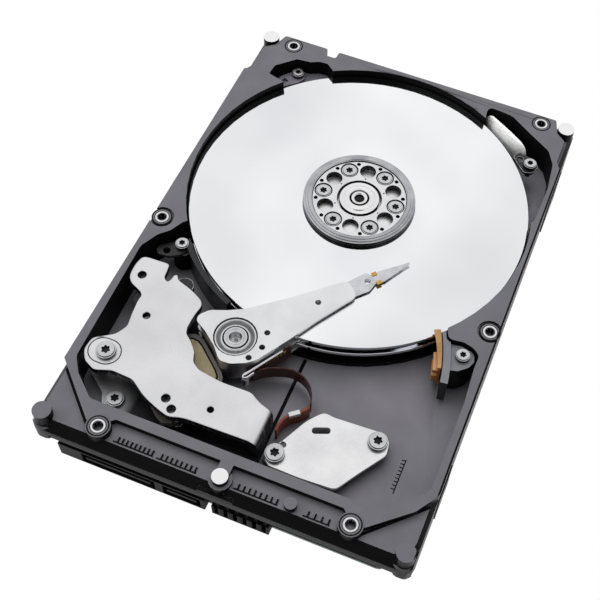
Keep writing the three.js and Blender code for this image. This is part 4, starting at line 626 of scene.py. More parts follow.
# the casting, the sheet parts and the small solids keep their modelled shapes, with rounded edges
softenedParts = [
    # node, edge width in mm, finish, material slot
    ("motor_base", 0.25, milled, "machined_aluminium"),
    ("bearing_sleeve", 0.1, lathed, "machined_aluminium"), ("stator_core", 0.12, copperWire, "copper_winding"),
    ("lower_yoke", 0.18, shadedYoke, "steel"),
    ("upper_magnet", 0.2, platedMagnet, "magnet_plating"),
    ("lower_magnet", 0.2, platedMagnet, "magnet_plating"), 
    ("ramp_bracket", 0.25, rampGrey, "grey_plastic"),

    ("corner_bracket", 0.18, greyPlastic, "grey_plastic"), 
    ("flex_header", 0.2, blackPlastic, "black_plastic"), ("circuit_board", 0.08, maskedBoard, "circuit_board"),
    ("controller_chip", 0.1, chipResin, "black_plastic"), ("memory_chip", 0.1, chipResin, "black_plastic"),
    ("motor_driver_chip", 0.1, chipResin, "black_plastic"), ("damping_foam", 0.3, foamSheet, "foam"),
    ("drive_connector", 0.12, deepBlack, "black_plastic"), ("jumper_block", 0.12, deepBlack, "black_plastic"),
    ("actuator_arms", 0.12, milled, "machined_aluminium"), ("coil_frame", 0.15, frameResin, "black_plastic"),
    ("arm_flex_board", 0.08, flexFilm, "flex_film"), 
    ("voice_coil", 0.15, windings, "copper_winding"),
    ("flex_stiffener", 0.1, flexStiff, "flex_film"),
    ("platter_spacer", 0.15, lathed, "machined_aluminium"), ("rotor_magnet", 0.1, platedMagnet, "magnet_plating"),
    ("head_gimbal_top", 0.04, springSteel, "steel"),
    ("head_gimbal_middle_upper", 0.04, springSteel, "steel"),
    ("head_gimbal_middle_lower", 0.04, springSteel, "steel"), ("head_gimbal_bottom", 0.04, springSteel, "steel"),
]
# the floor's marks are lowered to the floor, because finer ones are made below
softened("base_casting", 0.25, casting, edgeFinish=castEdgeHighlight, lowered=(7.75, 7.5))
for nodeName, width, finish, slotName in softenedParts:
    softened(nodeName, width, finish)
for nodeName in ("crash_stop", "disk_limiter", "filter_holder"):
    softened(nodeName, 0.32, blackPlastic, edgeFinish=mouldEdgeHighlight)

# screws: a flanged round head with a six-lobed recess whose floor is a dark disc of painted shade
screwLook = {"flange": 0.32, "crownShare": 0.86, "recessShare": 0.4, "lobeShare": 0.16, "recessDepth": 0.75,
             "edge": 0.1, "floorLift": 0.02}
recessFloors = {}
for nodeName in nodes:
    if "screw" not in nodeName:
        continue
    p = np.array([v.co for v in nodes[nodeName].data.vertices]) / mm
    centre = middle(nodeName)
    reach = np.hypot(p[:, 0] - centre[0], p[:, 1] - centre[1])
    headRadius, tip, top = reach.max(), p[:, 2].min(), p[:, 2].max()
    seat = p[reach > 0.9 * headRadius, 2].min()
    shank = reach[p[:, 2] < seat - 0.1].max()
    depth = min(screwLook["recessDepth"], 0.7 * (top - seat))
    floor = top - depth
    step = min(screwLook["flange"], 0.45 * depth)
    crown = headRadius * screwLook["crownShare"]
    lower = turnedForm([(0, tip), (shank, tip), (shank, seat), (headRadius, seat), (headRadius, top - step),
                        (crown, top - step), (crown, floor), (0, floor)], centre, screwLook["edge"], 48)
    a = np.linspace(0, 2 * np.pi, 72, endpoint=False)
    lobed = headRadius * screwLook["recessShare"] * (1 + screwLook["lobeShare"] * np.cos(6 * a))
    star = np.stack([centre[0] + lobed * np.cos(a), centre[1] + lobed * np.sin(a)], -1)
    upper = plateForm([circleLine(centre, crown, 64), star], floor, top, screwLook["edge"], 0.0)
    makePiece(nodeName + "_form", *togetherForm(lower, upper), screwSteel, bodyOfNode[nodeName], "steel",
              [nodeName])
    lift = floor + screwLook["floorLift"]
    ring = np.column_stack([circleLine(centre, lobed.max(), 24), np.full(24, lift)])
    recessFloors.setdefault(bodyOfNode[nodeName], []).append((ring, [list(range(24))]))
for body, floors in recessFloors.items():
    makePiece("screw_recess_floors_" + body, *togetherForm(*floors), shadowedSteel, body, "steel")
print("screws made")
print("softened parts made:", len(softenedParts))

platterLook = {"chamfer": 0.16, "segments": 320}
for nodeName in ("upper_platter", "lower_platter"):
    low, high = boxMm(nodeName)
    outer, bore = (high[0] - low[0]) / 2, 12.5
    disk = turnedForm([(bore, low[2]), (outer, low[2]), (outer, high[2]), (bore, high[2])], spindleCentre,
                      platterLook["chamfer"], platterLook["segments"], True)
    makePiece(nodeName + "_disk", *disk, mirror, "spindle", "platter_mirror", [nodeName])
print("platters made")

# the disk clamp: a stepped rim and a face plate with screw seats, deep holes and small scallops
clampLook = {"rimInner": 13.55, "edge": 0.12, "steps": [(16.0, 1.25), (15.4, 1.5), (14.7, 1.75)],
             "faceDrop": 0.5, "seatDepth": 0.75, "hubRadius": 12.2, "innerRadius": 6.4, "grooveMm": 0.18,
             "seat": (10.6, 2.55), "hole": (10.1, 2.3), "scallop": (12.45, 0.55), "dot": (7.25, 0.2), "count": 6,
             "rimGap": 0.1}
low, high = boxMm("disk_clamp")
stackTop = boxMm("upper_platter")[1][2]
clampFace = high[2] - clampLook["faceDrop"]
seatLevel = clampFace - clampLook["seatDepth"]
rim = [(clampLook["rimInner"], seatLevel - 0.3)]
rim += [(clampLook["hubRadius"], stackTop), (clampLook["steps"][0][0], stackTop)]
for radius, rise in clampLook["steps"]:
    if rim[-1][1] > stackTop:
        rim.append((radius, rim[-1][1]))
    rim.append((radius, stackTop + rise))
rim.append((clampLook["rimInner"] + 0.35, high[2]))
rim.append((clampLook["rimInner"] + 0.2, high[2] - clampLook["grooveMm"]))
rim.append((clampLook["rimInner"], high[2] - clampLook["grooveMm"]))
firstScrew = middle("clamp_screw_1") - spindleCentre
firstAngle = math.degrees(math.atan2(firstScrew[1], firstScrew[0]))
pitch = 360 / clampLook["count"]


def ringOfCircles(kind, shift, sides=48):
    # circles spaced evenly round the spindle, shifted from the screws by an angle in degrees
    distance, radius = clampLook[kind]
    angles = np.radians(firstAngle + shift + pitch * np.arange(clampLook["count"]))
    return [circleLine(spindleCentre[:2] + distance * np.array([math.cos(a), math.sin(a)]), radius, sides)
            for a in angles]


through = ringOfCircles("hole", pitch / 2)
scallops = ringOfCircles("scallop", pitch / 4, 20) + ringOfCircles("scallop", -pitch / 4, 20)
outline = circleLine(spindleCentre, clampLook["rimInner"] - 0.02, 128)
faceOutline = circleLine(spindleCentre, clampLook["rimInner"] - clampLook["rimGap"], 128)
inner = circleLine(spindleCentre, clampLook["innerRadius"], 96)
faceLines = [faceOutline, inner, *ringOfCircles("seat", 0), *through, *scallops, *ringOfCircles("dot", pitch / 2, 12)]
facePlate = plateForm(faceLines, seatLevel, clampFace, clampLook["edge"], 0.0)
# the floor plate under the face is steel painted dark as shade, seen through the holes, the scallops and the gap
# round the face
floorPlate = plateForm([outline, inner, *through], low[2], seatLevel - 0.02, 0.05)
makePiece("disk_clamp_rim", *turnedForm(rim, spindleCentre, clampLook["edge"], 192, True), turnedRim,
          "spindle", "steel")
makePiece("disk_clamp_form", *facePlate, clampSteel, "spindle", "steel", ["disk_clamp"])
makePiece("disk_clamp_recesses", *floorPlate, shadowedSteel, "spindle", "steel")
print("disk clamp made:", len(faceLines), "lines in its face")

# spindle crown and pivot: turned rings with narrow grooves between them
hubLook = {"crown": 5.65, "ring": 4.3, "step": 0.25, "groove": 0.22, "boreEdge": 0.12, "shaftGroove": 0.3}
low, high = boxMm("spindle_hub")
hubTop, crownTop = stackTop - 0.6, high[2]
hub = [(11.1, low[2]), (15.5, low[2]), (15.5, 12.2), (12.2, 12.2), (12.2, hubTop), (hubLook["crown"], hubTop),
       (hubLook["crown"], crownTop - hubLook["step"]), (hubLook["ring"] + 0.35, crownTop - hubLook["step"]),
       (hubLook["ring"], crownTop), (2.9, crownTop), (2.75, crownTop - hubLook["groove"]), (2.6, crownTop - 0.4),
       (2.6, hubTop - 1.6), (11.1, hubTop - 1.6)]
makePiece("spindle_hub_form", *turnedForm(hub, spindleCentre, 0.08, 144, True), crownSteel, "spindle",
          "machined_aluminium", ["spindle_hub"])
low, high = boxMm("spindle_shaft")
shaft = [(0, low[2]), (2.3, low[2]), (2.3, high[2]), (1.75, high[2]), (1.35, high[2] - hubLook["shaftGroove"]),
         (1.35, high[2] - 3.5), (0, high[2] - 3.5)]
makePiece("spindle_shaft_form", *turnedForm(shaft, spindleCentre, hubLook["boreEdge"], 96), crownSteel,
          "spindle", "steel", ["spindle_shaft"])
# a dark disc of painted shade down the shaft's bore
shaftFloor = [(0, high[2] - 0.8), (1.33, high[2] - 0.8), (1.33, high[2] - 0.7), (0, high[2] - 0.7)]
makePiece("spindle_shaft_recess", *turnedForm(shaftFloor, spindleCentre, 0.03, 32), shadowedSteel, "spindle",
          "steel")

pivotLook = {"seal": (4.95, 3.75), "sealDrop": 0.45, "lipDrop": 0.2, "capRing": 2.45, "capDrop": 0.18}
low, high = boxMm("pivot_bearing")
outer, bore = (high[0] - low[0]) / 2, 3.45
race = [(bore, low[2]), (outer, low[2]), (outer, high[2]), (pivotLook["seal"][0] + 0.12, high[2]),
        (pivotLook["seal"][0], high[2] - pivotLook["sealDrop"]),
        (pivotLook["seal"][1] + 0.25, high[2] - pivotLook["sealDrop"]),
        (pivotLook["seal"][1] + 0.12, high[2] - pivotLook["lipDrop"]), (bore, high[2] - pivotLook["lipDrop"])]
makePiece("pivot_bearing_form", *turnedForm(race, pivotCentre, 0.1, 128, True), bearingSteel, "head_stack",
          "steel", ["pivot_bearing"])
seal = [(pivotLook["seal"][1] + 0.3, high[2] - 0.52), (pivotLook["seal"][0] - 0.04, high[2] - 0.52),
        (pivotLook["seal"][0] - 0.04, high[2] - 0.42), (pivotLook["seal"][1] + 0.3, high[2] - 0.42)]
makePiece("pivot_bearing_seal", *turnedForm(seal, pivotCentre, 0.03, 96, True), bearingSeal, "head_stack",
          "steel")
low, high = boxMm("pivot_shaft")
shaft = [(0, low[2]), (4.2, low[2]), (4.2, 8.6), (3.1, 8.6), (3.1, high[2] - 0.15), (2.95, high[2]),
         (pivotLook["capRing"] + 0.12, high[2]), (pivotLook["capRing"], high[2] - pivotLook["capDrop"]),
         (pivotLook["capRing"] - 0.15, high[2] - pivotLook["capDrop"]), (pivotLook["capRing"] - 0.28, high[2]),
         (1.8, high[2]), (1.6, high[2] - 0.3), (1.6, high[2] - 3.0), (0, high[2] - 3.0)]
makePiece("pivot_shaft_form", *turnedForm(shaft, pivotCentre, 0.05, 96), bearingSteel, "base", "steel",
          ["pivot_shaft"])
print("spindle crown and pivot made")

# yoke plate: the stamped outline of the model with an end strip bent down over a true radius
yokeLook = {"edge": 0.3, "edgeLow": 0.15, "ease": 2.2, "bendRadius": 3.0, "thickness": 2.3, "cuts": 14,
            "padRadius": 3.55, "padRun": 0.7, "padShift": -0.5, "padGap": 0.12, "padDrop": 0.06}
low, high = boxMm("upper_yoke")
yokeTop = high[2]
p = np.array([v.co for v in nodes["upper_yoke"].data.vertices]) / mm
foot = p[p[:, 2] < low[2] + 0.05]
endFront, endBack, endRight = foot[:, 1].min(), foot[:, 1].max(), foot[:, 0].max()
bendStart = endRight - yokeLook["bendRadius"]
bendLength = 0.5 * math.pi * yokeLook["bendRadius"]
stripLength = bendLength + yokeTop - yokeLook["bendRadius"] - low[2]
yokeLines = edgeLines("upper_yoke", yokeTop)
outline = max(yokeLines, key=lambda line: abs(signedArea(line)))
screwAt = middle("upper_yoke_screw")[:2]
nearScrew = [line for line in yokeLines if np.linalg.norm(line.mean(0) - screwAt) < 0.5]
holes = [line for line in yokeLines if line is not outline and not any(line is near for near in nearScrew)]


def padLine(radius):
    # an oval round the yoke's screw: two half circles joined by short straights
    a = np.linspace(-np.pi / 2, np.pi / 2, 25)
    half = np.stack([np.cos(a), np.sin(a)], -1) * radius
    run = np.array([yokeLook["padRun"], 0])
    return screwAt + np.array([yokeLook["padShift"], 0]) + np.concatenate([half + run, -half - run])


holes.append(padLine(yokeLook["padRadius"] + yokeLook["padGap"]))
# the flat pattern: where the outline reaches the bend it runs on straight for the strip's length
before = outline[outline[:, 0] < bendStart]
firstCut = int(np.argmax(np.linalg.norm(np.roll(before, -1, 0) - before, axis=1)))
chain = np.roll(before, -firstCut - 1, 0)
strip = np.array([(bendStart + stripLength, endFront), (bendStart + stripLength, endBack)])
if chain[-1][1] > chain[0][1]:
    strip = strip[::-1]
turnIn = np.array([(bendStart, strip[0][1]), *strip, (bendStart, strip[1][1])])
pattern = roundedLine(np.concatenate([chain, turnIn]), yokeLook["ease"], 5)
yokePoints, yokeFaces = plateForm([pattern, *holes], yokeTop - yokeLook["thickness"], yokeTop, yokeLook["edge"],
                                  yokeLook["edgeLow"])


def bentDown(name, points, faces, cuts):
    # cuts the sheet across the bend, then wraps it: beyond bendStart a point at depth d under the top turns
    # about an axis bendRadius below it, x = start + (R - d) sin t, z = top - R + (R - d) cos t, and hangs
    # straight down after a quarter turn
    sheet = bmesh.new()
    verts = [sheet.verts.new(co) for co in points]
    for face in faces:
        try:
            sheet.faces.new([verts[v] for v in face])
        except ValueError:
            continue
    bmesh.ops.remove_doubles(sheet, verts=sheet.verts, dist=0.0004)
    for x in cuts:
        bmesh.ops.bisect_plane(sheet, geom=sheet.verts[:] + sheet.edges[:] + sheet.faces[:], dist=0.0001,
                               plane_co=(x, 0, 0), plane_no=(1, 0, 0))
    for vert in sheet.verts:
        x, depth = vert.co.x - bendStart, yokeTop - vert.co.z
        if x <= 0:
            continue
        turn = min(x / yokeLook["bendRadius"], math.pi / 2)
        past = max(0.0, x - bendLength)
        arm = yokeLook["bendRadius"] - depth
        vert.co.x = bendStart + arm * math.sin(turn)
        vert.co.z = yokeTop - yokeLook["bendRadius"] + arm * math.cos(turn) - past
    sheet.verts.index_update()
    bentPoints = [tuple(vert.co) for vert in sheet.verts]
    bentFaces = [[vert.index for vert in face.verts] for face in sheet.faces]
    sheet.free()
    return bentPoints, bentFaces


bendCuts = np.linspace(bendStart, bendStart + bendLength, yokeLook["cuts"])
makePiece("upper_yoke_form", *bentDown("upper_yoke", yokePoints, yokeFaces, bendCuts), bentPlate, "base", "steel",
          ["upper_yoke"], 40)
shank = circleLine(screwAt, 1.4, 32)
makePiece("upper_yoke_pad", *plateForm([padLine(yokeLook["padRadius"]), shank], yokeTop - yokeLook["thickness"],
                                       yokeTop - yokeLook["padDrop"], 0.15, 0.05), bentPlate, "base", "steel")
print("yoke plate bent, strip", round(stripLength, 2), "mm")

# flex plate: a flat stamping whose lower edges have small notches between the screws
flexPlateLook = {"edge": 0.14, "ease": 1.6}
low, high = boxMm("flex_bracket")
makePiece("flex_bracket_form", *plateForm(edgeLines("flex_bracket", high[2], flexPlateLook["ease"]), low[2],
                                          high[2], flexPlateLook["edge"]), polishedPlate, "base", "steel",
          ["flex_bracket"])
print("yoke and flex plates made")


# cover bosses: a bright countersunk thread mouth inside dark rings of painted shade, all six alike
bossLook = {"at": [(-0.657, -0.937, 18.8), (0.657, -0.937, 18.8), (-0.943, -0.072, 19.1), (0.943, -0.072, 19.1),
                   (-0.793, 0.958, 19.1), (0.793, 0.958, 19.1)], "bore": 1.25, "mouth": 1.42, "lip": 0.42,
            "innerRing": (2.0, 2.12), "outerRing": (2.48, 2.88), "lift": 0.015, "floorDepth": 1.9,
            "frontTop": 19.22, "frontFoot": 12.9, "frontRadius": 3.2}
low, high = boxMm("base_casting")
mouths, rings, floors, drums = [], [], [], []
for xShare, yShare, top in bossLook["at"]:
    at = (xShare * (high[0] - low[0]) / 2, yShare * (high[1] - low[1]) / 2)
    if yShare < -0.5:
        # the two at the front are full drums that stand proud of the ledge and of the wall behind them
        top, foot, radius = bossLook["frontTop"], bossLook["frontFoot"], bossLook["frontRadius"]
        inner = bossLook["bore"] + 0.02
        drums.append(turnedForm([(inner, foot), (inner, top), (radius, top), (radius, foot)], at, 0.12, 72,
                                True))
    top += bossLook["lift"]
    bore, mouth = bossLook["bore"], bossLook["mouth"]
    mouths.append(turnedForm([(bore - 0.03, top - 1.6), (bore - 0.03, top - 0.42), (mouth, top),
                              (mouth + bossLook["lip"], top), (mouth + bossLook["lip"], top - 0.1),
                              (bore + 0.03, top - 1.6)], at, 0.03, 48, True))
    for inner, outer in (bossLook["innerRing"], bossLook["outerRing"]):
        rings.append(turnedForm([(inner, top - 0.1), (inner, top), (outer, top), (outer, top - 0.1)], at, 0.02, 72,
                                True))
    floors.append(turnedForm([(0, top - bossLook["floorDepth"] - 0.1), (bore - 0.05, top - bossLook["floorDepth"] - 0.1),
                              (bore - 0.05, top - bossLook["floorDepth"]), (0, top - bossLook["floorDepth"])], at,
                             0.02, 24))
makePiece("cover_boss_mouths", *togetherForm(*mouths), threadBright, "base", "steel")
makePiece("cover_boss_shade_rings", *togetherForm(*rings), deepBlack, "base", "black_cast")
makePiece("cover_boss_drums", *togetherForm(*drums), casting, "base", "black_cast")
makePiece("cover_boss_floors", *togetherForm(*floors), bearingSeal, "base", "steel")
print("cover bosses made:", len(mouths))

# tick marks: fine raised bars along a base line, on the front ledge and on the cavity floor, dark because
# they were never milled. A ledge row is (first, last, count) in shares of the half width
tickLook = {"width": 0.26, "edge": 0.03, "lead": 1.2, "tail": 0.4, "sunk": 0.05,
            "ledgeRows": [(-0.543, -0.36, 9), (-0.311, -0.132, 8), (0.093, 0.291, 8), (0.451, 0.555, 4)],
            "ledgeY": -70.3, "ledgeLength": 1.5, "ledge": (17.0, 17.28),
            "floorStart": (39.05, -51.7), "floorCount": 9, "floorPitch": 1.04, "floorLength": 1.0,
            "floor": (7.5, 7.6)}
marks = []


def tickRow(start, turned, count, pitch, length, levels):
    # base line along the row's own x, ticks along its own y, all turned by an angle round the start
    half = tickLook["width"] / 2
    bars = [(-tickLook["lead"], -half, (count - 1) * pitch + tickLook["tail"], half)]
    bars += [(k * pitch - half, 0, k * pitch + half, length) for k in range(count)]
    cosine, sine = math.cos(turned), math.sin(turned)
    for x0, y0, x1, y1 in bars:
        corners = np.array([(x0, y0), (x1, y0), (x1, y1), (x0, y1)])
        line = np.array(start) + corners @ np.array([[cosine, sine], [-sine, cosine]])
        marks.append(plateForm([line], levels[0] - tickLook["sunk"], levels[1], tickLook["edge"]))


halfWide = boxMm("base_casting")[1][0]
for first, last, count in tickLook["ledgeRows"]:
    tickRow((first * halfWide, tickLook["ledgeY"]), 0.0, count, (last - first) * halfWide / (count - 1),
            tickLook["ledgeLength"], tickLook["ledge"])
tickRow(tickLook["floorStart"], math.pi / 2, tickLook["floorCount"], tickLook["floorPitch"],
        tickLook["floorLength"], tickLook["floor"])
makePiece("casting_tick_marks", *togetherForm(*marks), casting, "base", "black_cast")
print("tick marks made:", len(marks))


def polarLine(centre, turns, radii):
    # points round a centre from angles in degrees and their radii
    t = np.radians(turns)
    return np.stack([centre[0] + radii * np.cos(t), centre[1] + radii * np.sin(t)], -1)


def sectorLine(centre, inner, outer, fromAngle, toAngle, count=14):
    turns = np.linspace(fromAngle, toAngle, count)
    return np.concatenate([polarLine(centre, turns, np.full(count, outer)),
                           polarLine(centre, turns[::-1], np.full(count, inner))])


# load ramp: a spine on the bracket's side, three rows of fingers and a thin top rail that widens over the
# disk's edge
rampLook = {"front": 12.6, "spineEnd": 23.6, "railEnd": 25.2, "spine": 0.62, "railNarrow": 0.5, "railWide": 1.25,
            "railFrom": 15.0, "fingerEnd": 18.6, "fingerProud": -1.0, "edge": 0.08, "railTop": 0.36,
            "fingers": [(10.0, 10.75), (11.95, 13.2), (15.6, 17.0)], "notch": 0.5}
p = np.array([v.co for v in nodes["load_ramp"].data.vertices]) / mm
reach = np.hypot(p[:, 0] - pivotCentre[0], p[:, 1] - pivotCentre[1])
rampInner, rampOuter = reach.min(), reach.max()
low, high = boxMm("load_ramp")
spine = sectorLine(pivotCentre, rampOuter - rampLook["spine"], rampOuter, rampLook["front"], rampLook["spineEnd"])
turns = np.linspace(rampLook["front"], rampLook["railEnd"], 24)
share = np.clip((turns - rampLook["railFrom"]) / (rampLook["railEnd"] - rampLook["railFrom"]), 0, 1)
railWidth = rampLook["spine"] + rampLook["railNarrow"] + (rampLook["railWide"] - rampLook["railNarrow"]) * share
rail = np.concatenate([polarLine(pivotCentre, turns, np.full(24, rampOuter)),
                       polarLine(pivotCentre, turns[::-1], rampOuter - railWidth[::-1])])
forms = [plateForm([spine], low[2], high[2] - 0.02, rampLook["edge"]),
         plateForm([rail], high[2] - rampLook["railTop"], high[2], rampLook["edge"])]
for i, (foot, head) in enumerate(rampLook["fingers"]):
    finger = sectorLine(pivotCentre, rampInner - rampLook["fingerProud"], rampOuter - rampLook["spine"] + 0.02,
                        rampLook["front"] + rampLook["notch"] * (2 - i), rampLook["fingerEnd"])
    forms.append(plateForm([finger], foot, head, rampLook["edge"]))
makePiece("load_ramp_form", *togetherForm(*forms), amberPlastic, "base", "amber_plastic", ["load_ramp"])

# filter: a pillow of felt; half thickness = edge/2 + thickness/2 sin(pi s)^0.7 (1 - |2t - 1|^3), s along
# and t up
filterLook = {"edge": 0.5, "thickness": 3.0, "bulge": 0.7, "crown": 3.0, "rows": 17, "columns": 45,
              "cornerDrop": 0.3, "cornerPower": 8}
p = np.array([v.co for v in nodes["recirculation_filter"].data.vertices]) / mm
flat = p[:, :2]
start, end = flat[flat[:, 0].argmin()], flat[flat[:, 0].argmax()]
run = end - start
normal = np.array([-run[1], run[0]]) / np.linalg.norm(run)
s = np.linspace(0, 1, filterLook["columns"])
t = np.linspace(0, 1, filterLook["rows"])[:, None]
half = filterLook["edge"] / 2 + filterLook["thickness"] / 2 * np.sin(np.pi * s) ** filterLook["bulge"] * (
    1 - np.abs(2 * t - 1) ** filterLook["crown"])
across = np.concatenate([half, -half[:, ::-1]], 1)[:, :, None] * normal
spots = np.concatenate([s, s[::-1]])[None, :, None] * run + start + across
drop = 1 - filterLook["cornerDrop"] * np.abs(2 * np.concatenate([s, s[::-1]]) - 1) ** filterLook["cornerPower"]
level = p[:, 2].min() + t * np.ptp(p[:, 2]) * drop
points = np.concatenate([spots, level[:, :, None]], -1).reshape(-1, 3)
around = 2 * filterLook["columns"]
faces = gridFaces(filterLook["rows"], around)
last = (filterLook["rows"] - 1) * around
for i in range(filterLook["columns"] - 1):
    quad = [i, i + 1, around - 2 - i, around - 1 - i]
    faces += [quad, [last + v for v in quad]]
makePiece("recirculation_filter_form", points, faces, felt, "base", "filter_cloth", ["recirculation_filter"], 60)
print("ramp and filter made")

# flex loop: the model's own strip, merged and shaded smooth
mesh = bpy.data.meshes.new("flex_loop_form")
sheet = bmesh.new()
sheet.from_mesh(nodes["flex_loop"].data)
bmesh.ops.remove_doubles(sheet, verts=sheet.verts, dist=0.002 * mm)
sheet.to_mesh(mesh)
sheet.free()
mesh.shade_smooth()
mesh.set_sharp_from_angle(angle=math.radians(40))
mesh.materials.append(flexFilm)
loop = bpy.data.objects.new("flex_loop_form", mesh)
bpy.context.collection.objects.link(loop)
low, high = boxMm("flex_loop")
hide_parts("flex_loop")
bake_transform(loop)

# side board of the arms: a bright bar along its top edge and a row of solder pads, with a hook at its end
boardLook = {"bar": (-0.07, 0.8), "barHeight": 0.4, "barProud": 0.18, "pads": 9, "padFrom": 0.16, "padTo": 0.84,
             "padSize": (0.6, 0.16, 0.7), "padDrop": 1.3,
             "hook": [(-0.1, 0.05), (-1.1, 0.0), (-1.8, 0.6), (-1.1, 1.25), (1.4, 1.15)],
             "tail": [(-1.72, 0.4), (-1.66, 0.95), (-1.1, 1.25), (-0.4, 1.23)],
             "hookWall": 0.34, "hookFoot": 15.65, "hookTop": 16.7, "tailFoot": 12.4}
p = np.array([v.co for v in nodes["arm_flex_board"].data.vertices]) / mm
boardTop = p[:, 2].max()
flat = np.unique(p[p[:, 2] > boardTop - 0.05][:, :2].round(2), axis=0)
fromPivot = np.linalg.norm(flat - pivotCentre[:2], axis=1)
order = flat[np.argsort(fromPivot)]
nearEnd, farEnd = order[:2].mean(0), order[2:4].mean(0)
boardRun = farEnd - nearEnd
boardLength = np.linalg.norm(boardRun)
boardRun /= boardLength
outward = np.array([boardRun[1], -boardRun[0]])
halfBoard = 0.25


def boardBox(fromShare, toShare, inner, outer, foot, top):
    # a small block on the board's outer face, from one share of its length to another
    a, b = nearEnd + boardRun * boardLength * fromShare, nearEnd + boardRun * boardLength * toShare
    line = np.array([a + outward * inner, b + outward * inner, b + outward * outer, a + outward * outer])
    return plateForm([line], foot, top, 0.04, steps=2)


bar = boardBox(*boardLook["bar"], -0.1, halfBoard + boardLook["barProud"], boardTop - 0.05,
               boardTop + boardLook["barHeight"])
pads = []
for share in np.linspace(boardLook["padFrom"], boardLook["padTo"], boardLook["pads"]):
    width, proud, tall = boardLook["padSize"]
    half = width / boardLength / 2
    foot = boardTop - boardLook["padDrop"]
    pads.append(boardBox(share - half, share + half, halfBoard - 0.03, halfBoard + proud, foot, foot + tall))
makePiece("arm_flex_pads", *togetherForm(*pads), goldPads, "head_stack", "circuit_board")


def wireForm(kind, foot, top):
    # a bent strip that stands on edge: its route in shares of the board's own directions, then its wall
    route = np.array([nearEnd + boardRun * u + outward * v for u, v in boardLook[kind]])
    route = roundedLine(route, 0.7, 5, closed=False)
    route = route[np.append(True, np.linalg.norm(np.diff(route, axis=0), axis=1) > 1e-6)]
    run = np.gradient(route, axis=0)
    run /= np.linalg.norm(run, axis=1, keepdims=True)
    side = np.stack([-run[:, 1], run[:, 0]], -1) * boardLook["hookWall"] / 2
    return plateForm([np.concatenate([route + side, (route - side)[::-1]])], foot, top, 0.06)


makePiece("arm_flex_clip_form", *togetherForm(bar, wireForm("hook", boardLook["hookFoot"], boardLook["hookTop"]),
                                              wireForm("tail", boardLook["tailFoot"],
                                                       boardLook["hookFoot"] + 0.01)),
          stamped, "head_stack", "steel", ["arm_flex_clip"])

# clip folded over the stiffened end of the flex
clipLook = {"at": (8.5, -44.15), "towards": (0.77, 0.63), "length": 3.0, "wall": 0.25, "depth": 1.1, "gap": 0.36}
along = np.array(clipLook["towards"]) / np.hypot(*clipLook["towards"])
off = np.array([-along[1], along[0]])
top = boxMm("flex_stiffener")[1][2]
forms = []
for inner, outer, foot in ((-clipLook["gap"] - clipLook["wall"], clipLook["gap"] + clipLook["wall"], top + 0.02),
                           (clipLook["gap"] + 0.03, clipLook["gap"] + clipLook["wall"], top - clipLook["depth"]),
                           (-clipLook["gap"] - clipLook["wall"], -clipLook["gap"] - 0.03,
                            top - clipLook["depth"])):
    ends = [np.array(clipLook["at"]) + along * clipLook["length"] * k for k in (-0.5, 0.5)]
    line = np.array([ends[0] + off * inner, ends[1] + off * inner, ends[1] + off * outer,
                     ends[0] + off * outer])
    forms.append(plateForm([line], foot, top + 0.02 + clipLook["wall"] - (0.01 if foot < top else 0), 0.05))
makePiece("flex_stiffener_clip", *togetherForm(*forms), stamped, "base", "steel")

# micro-actuators: two gold-plated plates beside the neck of the upper suspension
actuatorLook = {"at": [(42.1, 1.25), (42.0, -1.75)], "size": (1.5, 1.1), "thickness": 0.22, "gap": 0.02,
                "window": [(45.6, -0.9), (45.6, 0.9), (50.2, 0.25), (50.2, -0.25)], "windowThickness": 0.03}
p = np.array([v.co for v in nodes["head_gimbal_top"].data.vertices]) / mm
local = np.column_stack([(p[:, :2] - pivotCentre[:2]) @ armAxis, (p[:, :2] - pivotCentre[:2]) @ armSide])
forms = []
for at in actuatorLook["at"]:
    near = np.linalg.norm(local - at, axis=1) < 3
    low = p[near, 2].max() + actuatorLook["gap"]
    length, width = np.array(actuatorLook["size"]) / 2
    corners = [(at[0] + u * length, at[1] + v * width) for u, v in ((-1, -1), (1, -1), (1, 1), (-1, 1))]
    line = np.array([pivotCentre[:2] + u * armAxis + v * armSide for u, v in corners])
    forms.append(plateForm([line], low, low + actuatorLook["thickness"], 0.05))
makePiece("micro_actuators", *togetherForm(*forms), goldPads, "head_stack", "steel")
print("flex loop, arm board, clips and micro-actuators made")


# the white table, the lamps and the camera
def stagePlane(name, size, place, turn, material, shown=True):
    # a flat square sheet, centred on place and facing along turn's Z
    half = size / 2
    mesh = bpy.data.meshes.new(name)
    corners = [Vector((x, y, 0)) for x, y in ((-half, -half), (half, -half), (half, half), (-half, half))]
    matrix = Matrix.Translation(place) @ turn.to_matrix().to_4x4()
    mesh.from_pydata([matrix @ corner for corner in corners], [], [(0, 1, 2, 3)])
    mesh.materials.append(material)
    sheet = bpy.data.objects.new(name, mesh)
    bpy.context.collection.objects.link(sheet)
    sheet.visible_camera = shown
    return sheet


studio = {"tableGlow": 0.55, "tableColour": "#e6e6e6", "worldDiffuse": 0.55, "flagColour": "#1c1c1e", "flagSize": 0.5,
          "driftScale": 2.2, "mirrorLow": 0.78, "mirrorHigh": 1.0}
tablePaint, tree = newMaterial("white table")
rays = addNode(tree, "LightPath")
strength = addNode(tree, "Math", {0: (rays, "Is Glossy Ray"), 1: studio["tableGlow"]}, operation="MULTIPLY")
glow = addNode(tree, "Emission", {"Color": (1, 1, 1, 1), "Strength": strength})
paper = addNode(tree, "BsdfDiffuse", {"Color": colour(studio["tableColour"])})
lit = addNode(tree, "AddShader", {0: glow, 1: paper})
white = addNode(tree, "Emission", {"Color": (1, 1, 1, 1), "Strength": 1.0})
addNode(tree, "OutputMaterial", {"Surface": addNode(tree, "MixShader", {0: (rays, "Is Camera Ray"), 1: lit,
                                                                      2: white})})
stagePlane("table", 4.0, Vector((0, 0, -0.0002)), Matrix.Identity(3).to_quaternion(), tablePaint)

flagPaint, tree = newMaterial("black studio flag")
addNode(tree, "OutputMaterial", {"Surface": addNode(tree, "BsdfDiffuse", {"Color": colour(studio["flagColour"])})})

